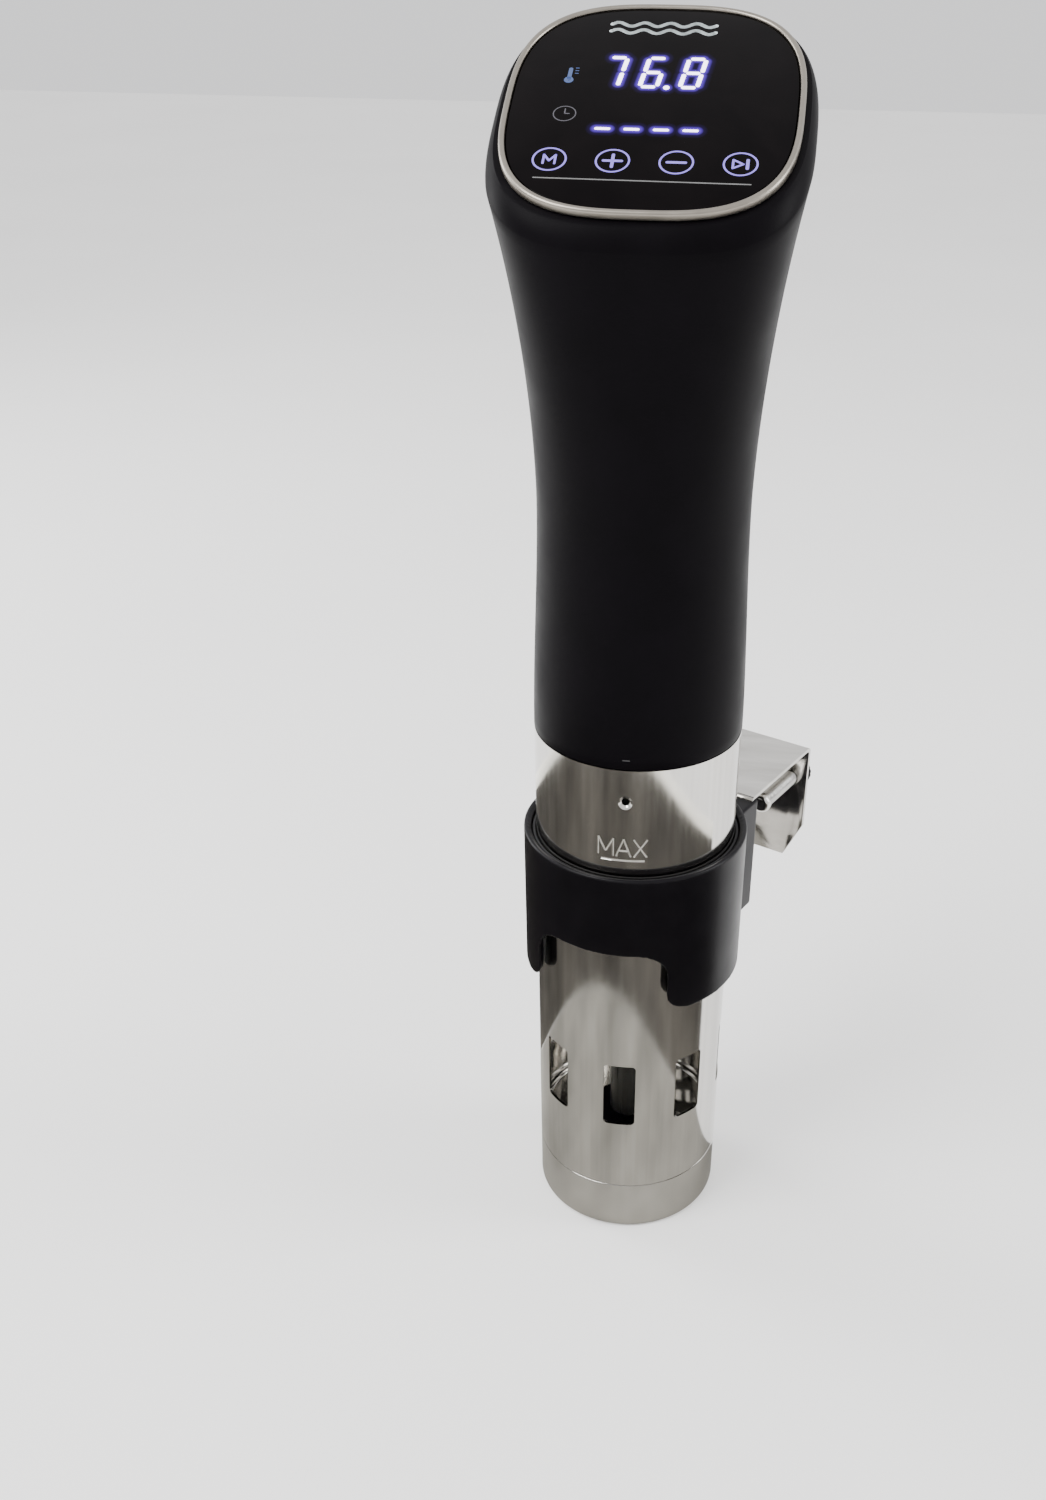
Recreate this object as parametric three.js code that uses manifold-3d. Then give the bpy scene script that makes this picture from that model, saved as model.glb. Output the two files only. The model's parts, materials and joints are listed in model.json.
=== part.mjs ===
// A sous vide circulator: a slanted touch-panel head on a steel sleeve, with the heater and the
// pump inside the sleeve and a sliding pot clamp around it. Millimetres and degrees, +Z up. The
// origin is the middle of the flat foot, on the axis of the sleeve, and the panel faces -Y.

import * as THREE from 'three';
import { mergeVertices } from 'three/addons/utils/BufferGeometryUtils.js';
import Module from 'manifold-3d';

const wasm = await Module();
wasm.setup();

// ---------------------------------------------------------------- driving dimensions

const gap = 0.3;                 // clearance between pieces that touch
const around = 48;               // facets round a large circle
const aroundInside = 32;         // facets round a large circle inside the casing

// steel sleeve
const sleeveRadius = 34;
const sleeveWall = 0.9;
const ventHeight = 188.3;        // air vents, above the foot
const ventRadius = 2.4;
const ventCount = 4;
const windowHeight = 66.5;       // middle of the water inlets, above the foot
const windowWidth = 11.5;
const windowRise = 27.5;
const windowCount = 8;

// head
const headBase = 200;            // underside of the head, above the foot
const headRise = 177.3;          // underside of the head to the middle of the panel
const headRadius = 42.6;         // widest half-width, just under the panel
const headOverhang = 0.1;        // head's underside beyond the sleeve
const waistRadius = 32.2;
const waistRise = 74;            // height of the narrowest place above the underside
const flare = 1.7;               // how late the waist opens out into the head
const shoulder = 6;              // rounding between the head's side and the panel's lip
const lipInset = 2.1;            // panel's lip inside the widest place
const panelTilt = 29;            // slope of the panel from the horizontal
const housingWall = 2.4;

// panel
const panelStretch = 3;          // half-length of the panel's outline beyond its half-width
const panelDrop = 2;             // middle of the panel's outline, down the slope
const panelPower = 3;            // 2 is an ellipse, and more is nearer a rectangle
const bezelInset = 1.5;          // ring's edge inside the lip
const bezelWidth = 1.6;
const bezelRise = 2.2;
const glassThickness = 1.4;
const buttonCount = 4;
const buttonPitch = 16.1;
const buttonDrop = 24.1;         // button row below the middle of the panel
const boardDepth = 5;            // display board below the panel's lip
const boardThickness = 1.6;
const boardInset = 5.4;          // display board's edge inside the lip

// power board behind the motor
const powerBoardFace = 14;       // its front face, behind the sleeve's axis
const powerBoardRise = 78;
const powerBoardRoom = 1.2;      // between its edges and the head's wall

// cooling slots in the back of the head
const slotCount = 4;
const slotWidth = 26;
const slotRise = 2.4;
const slotPitch = 6;
const slotFloor = 62;            // lowest slot above the underside of the head

// cord inlet at the back
const inletRise = 130;           // above the underside of the head
const inletRadius = 5.6;
const cordRadius = 3.6;

// twist locks of the sleeve and the foot
const lockCount = 3;
const lockTwist = 20;
const lockPinRadius = 1.6;
const lockPinReach = 1.2;        // how far a pin stands in from the sleeve's wall
const neckRise = 8;              // lock neck below the underside of the head
const spigotRise = 15;           // the neck's upper part, inside the head
const spigotWall = 2.7;
const ledgeRise = 3;             // ledge that carries the motor
const ledgeWidth = 5.6;
const legRoom = 1.3;             // between the heater's legs and the ledge
const footRise = 21.7;           // height of the foot cap's wall
const footPlate = 3;             // thickness of its floor
const footWall = 3;
const footNeck = 10;             // its lock neck, above the wall

// pump
const shaftRadius = 2;
const shaftFoot = 12;            // lower end of the shaft, above the foot
const impellerRadius = 18;
const impellerFloor = 17;
const impellerRise = 11;
const guideRadius = 7;
const guideFloor = 33;
const motorRadius = 17;
const motorRise = 38;
const canWall = 1.4;
const bracketPlate = 2;          // thickness of the motor's bracket
const fanReach = 4;              // fan's blades beyond the motor
const fanRise = 8;

// heater and probes
const heaterRadius = 3.2;
const heaterSpread = 15;         // legs from the middle, across
const heaterBend = 9;            // radius of the bend that joins two legs
const heaterFloor = 84;          // middle of the bend, above the foot
const probeRing = 16.5;
const probeRadius = 2.4;
const levelPinRadius = 1.5;
const probeTip = 88;
const lowWater = 96;             // water levels that the pins sense, above the foot
const highWater = 165;

// pot clamp
const collarTurn = 25.5;         // clamp's direction, clockwise from straight back
const linerWall = 1;
const collarWall = 2.6;
const collarTop = 161.7;
const collarFloor = 107.4;
const archTurn = 12;             // arch's place, anticlockwise from straight opposite the clamp
const archRise = 24.1;           // height of the arch cut in the collar's lower edge
const archWidth = 46.5;
const archCorner = 9;
const archFoot = 7;              // rounding of the collar's lower edge beside the arch
const jawWidth = 53;
const jawDepth = 1.8;            // jaw's flat face beyond the collar's wall
const jawDrop = 1.9;             // jaw's top below the collar's
const jawRaise = 8;              // jaw's underside above the collar's
const sheet = 1.3;               // bracket's sheet metal
const sheetBend = 2;
const bracketWidth = 51.5;
const bracketSpan = 43;          // jaw's face to the bracket's outer face
const bracketDrop = 49;          // outer plate's height
const chamferAcross = 7;         // cut corners of the outer plate
const chamferRise = 15;
const tongueWidth = 38;
const tongueDrop = 27;
const tongueCover = 2;           // jaw in front of the tongue
const fixingSpread = 12;         // screws that hold the tongue, from its middle
const fixingRaise = 10;          // and above its lower edge
const fixingRadius = 1.5;
const screwSpread = 18.7;        // clamp screws from the middle of the bracket
const screwDrop = 14.8;          // clamp screws below the top of the bracket
const screwRadius = 3;
const screwReach = 20.8;         // thread inside the outer plate
const footRadius = 3.7;
const footLength = 3.4;
const knobRadius = 5.5;
const knobLength = 6.5;

// ---------------------------------------------------------------- solids and tools

const turn = THREE.MathUtils.degToRad;
const tilt = turn(panelTilt);

// A plain mesh with shared corners, no slivers and its faces pointing out.
function tidy(geometry) {
  const bare = new THREE.BufferGeometry();
  bare.setAttribute('position', geometry.getAttribute('position'));
  if (geometry.index) bare.setIndex(geometry.index);
  const merged = mergeVertices(bare, 1e-4);
  const corners = merged.index.array;
  const kept = [];
  for (let i = 0; i < corners.length; i += 3) {
    const [a, b, c] = corners.slice(i, i + 3);
    if (a !== b && b !== c && c !== a) kept.push(a, b, c);
  }
  const place = merged.getAttribute('position');
  const at = (i) => new THREE.Vector3().fromBufferAttribute(place, i);
  let volume = 0;
  for (let i = 0; i < kept.length; i += 3) {
    volume += at(kept[i]).dot(at(kept[i + 1]).cross(at(kept[i + 2])));
  }
  if (volume < 0) kept.reverse();
  merged.setIndex(kept);
  return merged;
}

function solid(geometry) {
  const body = tidy(geometry);
  return new wasm.Manifold(new wasm.Mesh({
    numProp: 3,
    vertProperties: new Float32Array(body.getAttribute('position').array),
    triVerts: new Uint32Array(body.index.array),
  }));
}

function surface(body) {
  const mesh = body.getMesh();
  const geometry = new THREE.BufferGeometry();
  geometry.setAttribute('position', new THREE.BufferAttribute(mesh.vertProperties, 3));
  geometry.setIndex(new THREE.BufferAttribute(mesh.triVerts, 1));
  return geometry;
}

function cut(geometry, ...tools) {
  return surface(tools.reduce((body, tool) => body.subtract(solid(tool)), solid(geometry)));
}

function join(geometry, ...others) {
  return surface(others.reduce((body, other) => body.add(solid(other)), solid(geometry)));
}

// Turns a closed outline of [radius, height] points about Z.
function lathe(outline, facets = around) {
  const points = [...outline, outline[0]].map(([r, z]) => new THREE.Vector2(r, z));
  return tidy(new THREE.LatheGeometry(points, facets).rotateX(Math.PI / 2));
}

function ring(inner, outer, floor, top, facets = around) {
  return lathe([[inner, floor], [outer, floor], [outer, top], [inner, top]], facets);
}

function rod(radius, floor, top, facets = 16) {
  const shape = new THREE.CylinderGeometry(radius, radius, top - floor, facets);
  return shape.rotateX(Math.PI / 2).translate(0, 0, (floor + top) / 2);
}

// A rod that lies along Y.
function peg(radius, from, to, facets = 16) {
  const shape = new THREE.CylinderGeometry(radius, radius, to - from, facets);
  return shape.translate(0, (from + to) / 2, 0);
}

// A box between two corners.
function box(low, high) {
  const size = high.map((value, axis) => value - low[axis]);
  const middle = high.map((value, axis) => (value + low[axis]) / 2);
  return new THREE.BoxGeometry(...size).translate(...middle);
}

function prism(shape, floor, top, curveSegments = 12) {
  const options = { depth: top - floor, bevelEnabled: false, curveSegments };
  return new THREE.ExtrudeGeometry(shape, options).translate(0, 0, floor);
}

// A piece of a ring between two angles.
function sector(inner, outer, floor, top, from, to) {
  const shape = new THREE.Shape();
  shape.absarc(0, 0, outer, turn(from), turn(to), false);
  shape.absarc(0, 0, inner, turn(to), turn(from), true);
  return prism(shape, floor, top, 2);
}

function hexagon(across, floor, top) {
  return rod(across / Math.sqrt(3), floor, top, 6);
}

function tubeAlong(curve, radius, steps) {
  const section = new THREE.Shape().absarc(0, 0, radius, 0, 2 * Math.PI, false);
  const options = { steps, extrudePath: curve, curveSegments: 4 };
  return new THREE.ExtrudeGeometry(section, options);
}

function spread(count, start, make) {
  return Array.from({ length: count }, (_, i) => make(start + (i * 360) / count, i));
}

function paint(color, roughness, metalness) {
  return () => new THREE.MeshStandardMaterial({ color, roughness, metalness });
}

const blackPlastic = paint(0x18161a, 0.55, 0);
const greyPlastic = paint(0x3a3a3d, 0.6, 0);
const mirrorSteel = paint(0xc9c6c0, 0.12, 1);
const brushedSteel = paint(0xa9a8a6, 0.35, 1);
const satinSilver = paint(0xa8a39c, 0.32, 0.9);
const blackGlass = paint(0x08080c, 0.08, 0);
const greenBoard = paint(0x1d5a34, 0.6, 0);
const rubber = paint(0x222224, 0.85, 0);
const silicone = paint(0x8b2f24, 0.7, 0);
const copper = paint(0xb4693a, 0.35, 1);
const brass = paint(0xc6a04c, 0.35, 1);
const whitePlastic = paint(0xdad9d2, 0.5, 0);

const circulator = new THREE.Group();

function add(parent, name, geometry, material) {
  const mesh = new THREE.Mesh(geometry, material());
  mesh.name = name;
  parent.add(mesh);
  return mesh;
}

// ---------------------------------------------------------------- shared places

const sleeveBore = sleeveRadius - sleeveWall;
const neckRadius = sleeveBore - gap - 0.1;
const lockDepth = sleeveBore - lockPinReach - gap;       // bottom of a lock groove
const neckFloor = headBase - neckRise;
const headBaseRadius = sleeveRadius + headOverhang;
const lipRadius = headRadius - lipInset;
const innerSteps = 6;                                     // levels of the head's inner wall
const innerLevel = headRise / innerSteps;
const spigotShare = spigotRise / innerLevel;
const spigotSkin = THREE.MathUtils.lerp(headBaseRadius, headSection(innerLevel)[0], spigotShare);
const spigotRadius = spigotSkin - housingWall - 2 * gap;
const spigotBore = spigotRadius - spigotWall;
const spigotTop = headBase + spigotRise;
const ledgeBore = Math.hypot(heaterSpread, heaterBend) + heaterRadius + legRoom;
const neckBore = ledgeBore + ledgeWidth;
const ledgeTop = headBase + ledgeRise;
const plateTop = headBase - 2;                            // bulkhead plate
const plateFloor = plateTop - 2.5;
const plateRadius = neckBore - gap - 0.1;
const motorFloor = ledgeTop + gap + bracketPlate + gap;
const motorTop = motorFloor + motorRise;
const fanFloor = motorTop + 4;
const shaftTop = fanFloor + fanRise + 1;
const panelHeight = headBase + headRise;

// ---------------------------------------------------------------- head

// How far the waist has opened out into the head at a height above its underside.
function opening(rise) {
  const side = headRise - shoulder - waistRise;
  return Math.max(0, Math.min(1, (rise - waistRise) / side)) ** flare;
}

// Half-width and half-depth of the head at a height above its underside.
function headSection(rise) {
  const smooth = THREE.MathUtils.smoothstep(rise, 0, waistRise);
  const open = opening(rise);
  const rolled = Math.max(0, (rise - headRise + shoulder) / shoulder);
  const roll = 1 - Math.sqrt(1 - Math.min(1, rolled) ** 2 * 0.75);
  const waist = THREE.MathUtils.lerp(headBaseRadius, waistRadius, smooth);
  const lipDepth = (lipRadius + panelStretch) * Math.cos(tilt);
  const halfDepth = lipDepth + lipInset;
  const width = waist + (headRadius - waistRadius) * open;
  const depth = waist + (halfDepth - waistRadius) * open;
  return [width - 2 * (headRadius - lipRadius) * roll, depth - 2 * (halfDepth - lipDepth) * roll];
}

// Points of a rounded square with these half-sizes, which power 2 makes an ellipse.
function roundedSquare(width, depth, power) {
  return Array.from({ length: around }, (_, i) => {
    const angle = (2 * Math.PI * i) / around;
    const across = Math.abs(Math.cos(angle) / width) ** power;
    const reach = (across + Math.abs(Math.sin(angle) / depth) ** power) ** (-1 / power);
    return [reach * Math.cos(angle), reach * Math.sin(angle)];
  });
}

// One level of the head's skin, which leans more and is squarer the nearer it is to the panel.
function headLevel(rise, inset) {
  const [width, depth] = headSection(rise);
  const power = THREE.MathUtils.lerp(2, panelPower, opening(rise));
  return roundedSquare(width - inset, depth - inset, power).map(([x, fromMiddle]) => {
    const y = fromMiddle - panelDrop * Math.cos(tilt) * opening(rise);
    return [x, y, headBase + rise + (rise / headRise) * y * Math.tan(tilt)];
  });
}

// Depth of the head's skin at its back, at a height above its underside.
function backDepth(height) {
  let depth = 0;
  for (let i = 0; i < 10; i += 1) {
    const rise = height / (1 + (depth * Math.tan(tilt)) / headRise);
    depth = headSection(rise)[1] - panelDrop * Math.cos(tilt) * opening(rise);
  }
  return depth;
}

// Joins a closed loop of rings that have as many points each.
function loft(levels) {
  const geometry = new THREE.BufferGeometry();
  const index = [];
  const count = levels[0].length;
  levels.forEach((_, level) => {
    const below = level * count;
    const above = ((level + 1) % levels.length) * count;
    for (let i = 0; i < count; i += 1) {
      const next = (i + 1) % count;
      index.push(below + i, below + next, above + next);
      index.push(below + i, above + next, above + i);
    }
  });
  geometry.setAttribute('position', new THREE.Float32BufferAttribute(levels.flat(2), 3));
  geometry.setIndex(index);
  return tidy(geometry);
}

function housingShell() {
  const sideSteps = 9;
  const shoulderSteps = 4;
  const side = headRise - shoulder;
  const outer = Array.from({ length: sideSteps + 1 }, (_, i) => (side * i) / sideSteps);
  for (let i = 1; i <= shoulderSteps; i += 1) outer.push(side + (shoulder * i) / shoulderSteps);
  const inner = Array.from({ length: innerSteps + 1 }, (_, i) => innerLevel * (innerSteps - i));
  const skin = loft([
    ...outer.map((rise) => headLevel(rise, 0)),
    ...inner.map((rise) => headLevel(rise, housingWall)),
  ]);
  const hole = peg(inletRadius + gap, 0, headRadius + housingWall);
  hole.translate(0, 0, headBase + inletRise);
  const slots = Array.from({ length: slotCount }, (_, i) => {
    const floor = headBase + slotFloor + i * slotPitch;
    return box([-slotWidth / 2, waistRadius / 2, floor], [slotWidth / 2, headRadius, floor + slotRise]);
  });
  return cut(skin, hole, ...slots);
}

function addHead() {
  add(circulator, 'housing_shell', housingShell(), blackPlastic);

  const nutAcross = 2 * inletRadius + 5;
  const nutReach = nutAcross / Math.sqrt(3);
  const depth = backDepth(inletRise);
  const lean = depth - backDepth(inletRise - nutReach);
  const bow = depth * (1 - Math.sqrt(1 - (nutReach / depth) ** 2));
  const nutTop = -housingWall - lean - bow - 2 * gap;
  const nutFloor = nutTop - 4;
  const inlet = new THREE.Group();
  inlet.position.set(0, depth, headBase + inletRise);
  inlet.rotation.x = -Math.PI / 2;
  circulator.add(inlet);
  const gland = lathe([
    [cordRadius, nutFloor - 1], [inletRadius, nutFloor - 1], [inletRadius, 1.2 + gap],
    [inletRadius + 2.6, 1.2 + gap], [inletRadius + 2.6, 3], [cordRadius + 2.2, 7],
    [cordRadius + 1.2, 16], [cordRadius, 16],
  ], 24);
  add(inlet, 'cord_gland', gland, rubber);
  const nut = cut(
    hexagon(nutAcross, nutFloor, nutTop),
    rod(inletRadius + gap, nutFloor - 1, nutTop + 1, 24),
  );
  add(inlet, 'gland_nut', nut, greyPlastic);
}

// ---------------------------------------------------------------- panel

function addPanel() {
  const panel = new THREE.Group();
  panel.position.set(0, 0, panelHeight);
  panel.rotation.x = tilt;
  circulator.add(panel);

  const outline = (radius) => roundedSquare(radius, radius + panelStretch, panelPower);
  const bezelRadius = lipRadius - bezelInset;
  const bezelBore = bezelRadius - bezelWidth;
  const bezelTop = gap + bezelRise;
  const bezel = loft([
    [bezelBore, gap], [bezelRadius, gap], [bezelRadius, bezelTop - 0.6],
    [bezelRadius - 0.5, bezelTop], [bezelBore + 0.5, bezelTop], [bezelBore, bezelTop - 0.5],
  ].map(([radius, height]) => outline(radius).map(([x, y]) => [x, y - panelDrop, height])));
  add(panel, 'display_bezel', bezel, satinSilver);

  const glassFloor = gap + 0.2;
  const glassShape = new THREE.Shape(outline(bezelBore - gap).map(([x, y]) => new THREE.Vector2(x, y)));
  const glass = prism(glassShape, glassFloor, glassFloor + glassThickness);
  add(panel, 'display_glass', glass.translate(0, -panelDrop, 0), blackGlass);

  const boardTop = -boardDepth;
  const boardRadius = lipRadius - boardInset;
  const boardEdge = 18;
  const chord = Math.asin(boardEdge / boardRadius);
  const boardShape = new THREE.Shape();
  boardShape.absarc(0, 0, boardRadius, Math.PI - chord, 2 * Math.PI + chord, false);
  add(panel, 'display_board', prism(boardShape, boardTop - boardThickness, boardTop, 32), greenBoard);

  const partFloor = boardTop + gap;
  const digits = box([-22, -1, partFloor], [22, 14.5, -0.6]);
  add(panel, 'digit_module', digits, whitePlastic);

  for (let i = 0; i < buttonCount; i += 1) {
    const spring = touchSpring(partFloor, glassFloor - gap);
    spring.translate((i - (buttonCount - 1) / 2) * buttonPitch, -buttonDrop, 0);
    add(panel, `touch_spring_${i + 1}`, spring, brass);
  }

  const buzzerTop = boardTop - boardThickness - gap;
  const buzzer = rod(6, buzzerTop - 5, buzzerTop, 24).translate(12, -8, 0);
  add(panel, 'buzzer', buzzer, blackPlastic);
}

// The conical coil that carries a touch from the glass to the board.
function touchSpring(floor, top) {
  const wire = 0.35;
  const turns = 2.5;
  const points = Array.from({ length: 21 }, (_, i) => {
    const angle = (turns * 2 * Math.PI * i) / 20;
    const radius = 2.4 - (0.7 * i) / 20;
    const height = THREE.MathUtils.lerp(floor + wire, top - wire, i / 20);
    return new THREE.Vector3(radius * Math.cos(angle), radius * Math.sin(angle), height);
  });
  const section = new THREE.Shape().absarc(0, 0, wire, 0, 2 * Math.PI, false);
  const path = new THREE.CatmullRomCurve3(points);
  return new THREE.ExtrudeGeometry(section, { steps: 20, extrudePath: path, curveSegments: 2 });
}

// ---------------------------------------------------------------- electronics

// A box on the front of the power board: its lower left corner and its width, depth and height.
function onBoard([left, floor], [width, depth, height], stand = gap) {
  return box([left, -stand - depth, floor], [left + width, -stand, floor + height]);
}

function addElectronics() {
  const back = powerBoardFace + boardThickness;
  const reach = waistRadius - housingWall - powerBoardRoom;
  const half = Math.sqrt(reach ** 2 - back ** 2);
  const bay = new THREE.Group();
  bay.position.set(0, powerBoardFace, shaftTop + 5);
  circulator.add(bay);

  const board = box([-half, 0, 0], [half, boardThickness, powerBoardRise]);
  add(bay, 'power_board', board, greenBoard);

  const coreSize = [18, 16.7, 16];
  const coilSize = [12, 12, 20];
  const core = onBoard([1, 46], coreSize);
  add(bay, 'transformer', join(core, onBoard([4, 44], coilSize, 3)), brass);

  const relaySize = [15, 10.2, 18];
  add(bay, 'relay', onBoard([3, 20], relaySize), whitePlastic);

  const capacitorRadius = 7;
  const capacitorLength = 19.7;
  const capacitor = peg(capacitorRadius, -gap - capacitorLength, -gap, 20).translate(-11, 0, 60);
  add(bay, 'filter_capacitor', capacitor, greyPlastic);

  const fuseRadius = 2.6;
  const fuse = peg(fuseRadius, -9, -4, 12).translate(-12, 0, 43);
  add(bay, 'fuse_holder', join(onBoard([-19, 40], [14, 4.7, 6]), fuse), blackPlastic);

  const finCount = 5;
  const finPitch = 4;
  const finSize = [1.6, 12, 30];
  const fins = Array.from({ length: finCount }, (_, i) => onBoard([-19 + i * finPitch, 5], finSize, 2));
  const sinkWidth = (finCount - 1) * finPitch + finSize[0];
  add(bay, 'heat_sink', join(onBoard([-19, 5], [sinkWidth, 2.7, finSize[2]]), ...fins), brushedSteel);

  const terminalSize = [16, 8.7, 11];
  add(bay, 'terminal_block', onBoard([3, 3], terminalSize), greyPlastic);
}

// ---------------------------------------------------------------- bulkhead and lock neck

// Slots that let inward pins in from one side and hold them after a twist.
function lockGrooves(pinHeight, mouth, twist) {
  const half = (lockPinRadius + gap) / sleeveBore * (180 / Math.PI);
  const [low, high] = [pinHeight - lockPinRadius - gap, pinHeight + lockPinRadius + gap];
  const [from, to] = [Math.min(0, twist), Math.max(0, twist)];
  return spread(lockCount, 90, (angle) => [
    sector(lockDepth, sleeveRadius, low, high, angle + from - half, angle + to + half),
    sector(lockDepth, sleeveRadius, Math.min(mouth, low), Math.max(mouth, high),
      angle + twist - half, angle + twist + half),
  ]).flat();
}

const neckPinHeight = headBase - neckRise / 2;
const footPinHeight = footRise + gap + 6;

const plateScrewRadius = 1.2;
const plateScrewRing = (ledgeBore + plateRadius) / 2;

function plateScrewHoles(floor, top) {
  return spread(3, 30, (angle) => {
    const hole = rod(plateScrewRadius + gap, floor, top, 12).translate(plateScrewRing, 0, 0);
    return hole.rotateZ(turn(angle));
  });
}

function addBulkhead() {
  const neck = lathe([
    [neckBore, neckFloor], [neckRadius, neckFloor], [neckRadius, headBase - gap],
    [spigotRadius, headBase - gap], [spigotRadius, spigotTop], [spigotBore, spigotTop],
    [spigotBore, ledgeTop], [ledgeBore, ledgeTop], [ledgeBore, headBase], [neckBore, headBase],
  ], aroundInside);
  const grooves = lockGrooves(neckPinHeight, neckFloor - 1, lockTwist);
  const holes = plateScrewHoles(headBase - 1, ledgeTop + 1);
  add(circulator, 'lock_neck', cut(neck, ...grooves, ...holes), greyPlastic);

  const gasketTop = headBase - gap;
  const gasket = ring(ledgeBore, plateRadius, plateTop + gap, gasketTop, aroundInside);
  add(circulator, 'bulkhead_gasket', cut(gasket, ...plateScrewHoles(plateTop, headBase)), silicone);

  const legs = heaterLegs().map(([x, y]) => rod(heaterRadius + gap, plateFloor - 1, plateTop + 1, 12)
    .translate(x, y, 0));
  const probes = probePlaces().map(([x, y, radius]) => rod(radius + gap, plateFloor - 1, plateTop + 1, 12)
    .translate(x, y, 0));
  const plate = ring(guideRadius - 1.6, plateRadius, plateFloor, plateTop, aroundInside);
  const screwHoles = plateScrewHoles(plateFloor - 1, plateTop + 1);
  add(circulator, 'bulkhead_plate', cut(plate, ...legs, ...probes, ...screwHoles), brushedSteel);

  spread(3, 30, (angle, i) => {
    const screw = join(
      rod(plateScrewRadius, plateFloor - 1, ledgeTop - 0.5, 12),
      rod(2.3, plateFloor - 1.8, plateFloor - gap, 12),
    );
    screw.translate(plateScrewRing, 0, 0).rotateZ(turn(angle));
    add(circulator, `bulkhead_screw_${i + 1}`, screw, brushedSteel);
  });

  const seal = lathe([
    [shaftRadius + gap, plateFloor + 0.2], [guideRadius - 1.6 - gap, plateFloor + 0.2],
    [guideRadius - 1.6 - gap, plateTop + 1.4], [shaftRadius + 1.6, plateTop + 1.4],
    [shaftRadius + gap, plateTop + 0.4],
  ], 24);
  add(circulator, 'shaft_seal', seal, rubber);
}

// ---------------------------------------------------------------- motor and pump

function addPump() {
  const bracketFloor = ledgeTop + gap;
  const bracketRadius = spigotBore - 2 * gap;
  const bracket = ring(5, bracketRadius, bracketFloor, bracketFloor + bracketPlate, aroundInside);
  add(circulator, 'motor_bracket', bracket, brushedSteel);

  const mouth = shaftRadius + 1.6;
  const [floor, top] = [motorFloor, motorTop];
  const can = lathe([
    [mouth, floor], [motorRadius, floor], [motorRadius, top], [mouth, top],
    [mouth, top - canWall], [motorRadius - canWall, top - canWall],
    [motorRadius - canWall, floor + canWall], [mouth, floor + canWall],
  ], aroundInside);
  add(circulator, 'motor_can', can, brushedSteel);

  const bore = shaftRadius + gap;
  const rotorRadius = motorRadius - canWall - 1.4;
  const rotor = ring(bore, rotorRadius, floor + canWall + 3, top - canWall - 3, 32);
  add(circulator, 'motor_rotor', rotor, copper);

  add(circulator, 'drive_shaft', rod(shaftRadius, shaftFoot, shaftTop, 16), brushedSteel);

  const fanRadius = motorRadius + fanReach;
  const fanHub = ring(bore, 6, fanFloor, fanFloor + fanRise, 24);
  const blades = spread(7, 0, (angle) => {
    const blade = box([5, -0.5, -4.6], [fanRadius, 0.5, 4.6]).rotateX(turn(40));
    return blade.translate(0, 0, fanFloor + fanRise / 2).rotateZ(turn(angle));
  });
  add(circulator, 'cooling_fan', join(fanHub, ...blades), greyPlastic);

  const guideTop = plateFloor - gap;
  add(circulator, 'shaft_guide', ring(guideRadius - 1, guideRadius, guideFloor, guideTop, 24), brushedSteel);
  const bushing = ring(bore, guideRadius - 1 - gap, guideFloor, guideFloor + 9, 24);
  add(circulator, 'shaft_bushing', bushing, brass);

  const impellerTop = impellerFloor + impellerRise;
  const hub = ring(bore, 5.5, impellerFloor, impellerTop, 24);
  const disc = ring(bore, impellerRadius, impellerTop - 1.6, impellerTop, 32);
  const vanes = spread(6, 0, (angle) => {
    const vane = box([4.5, -0.8, impellerFloor], [impellerRadius - 0.5, 0.8, impellerTop - 1]);
    return vane.rotateZ(turn(angle));
  });
  add(circulator, 'impeller', join(hub, disc, ...vanes), blackPlastic);

  const nutTop = impellerFloor - gap;
  const nut = cut(hexagon(7, nutTop - 3, nutTop), rod(bore, nutTop - 4, nutTop + 1, 16));
  add(circulator, 'impeller_nut', nut, brass);
}

// ---------------------------------------------------------------- heater and probes

const elementTop = ledgeTop - 0.5;

function heaterLegs() {
  return [-1, 1].flatMap((side) => [-1, 1].map((end) => [side * heaterSpread, end * heaterBend]));
}

function probePlaces() {
  return [[0, probeRing, probeRadius], [-5, -probeRing, levelPinRadius], [5, -probeRing, levelPinRadius]];
}

function addHeater() {
  const bend = Array.from({ length: 7 }, (_, i) => {
    const angle = Math.PI * (1 + i / 6);
    return [heaterBend * Math.cos(angle), heaterFloor + heaterBend * Math.sin(angle)];
  });
  const route = [[-heaterBend, elementTop], ...bend, [heaterBend, elementTop]];
  for (const [side, name] of [[-1, 'heater_tube_left'], [1, 'heater_tube_right']]) {
    const path = new THREE.CurvePath();
    for (let i = 1; i < route.length; i += 1) {
      const ends = [route[i - 1], route[i]];
      const [from, to] = ends.map(([y, z]) => new THREE.Vector3(side * heaterSpread, y, z));
      path.add(new THREE.LineCurve3(from, to));
    }
    add(circulator, name, tubeAlong(path, heaterRadius, 26), brushedSteel);
  }
  const [temperature, low, high] = probePlaces();
  const probe = (place, floor) => rod(place[2], floor, elementTop, 12).translate(place[0], place[1], 0);
  add(circulator, 'temperature_probe', probe(temperature, probeTip), brushedSteel);
  add(circulator, 'low_water_pin', probe(low, lowWater), brushedSteel);
  add(circulator, 'high_water_pin', probe(high, highWater), brushedSteel);
}

// ---------------------------------------------------------------- sleeve and foot

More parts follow.
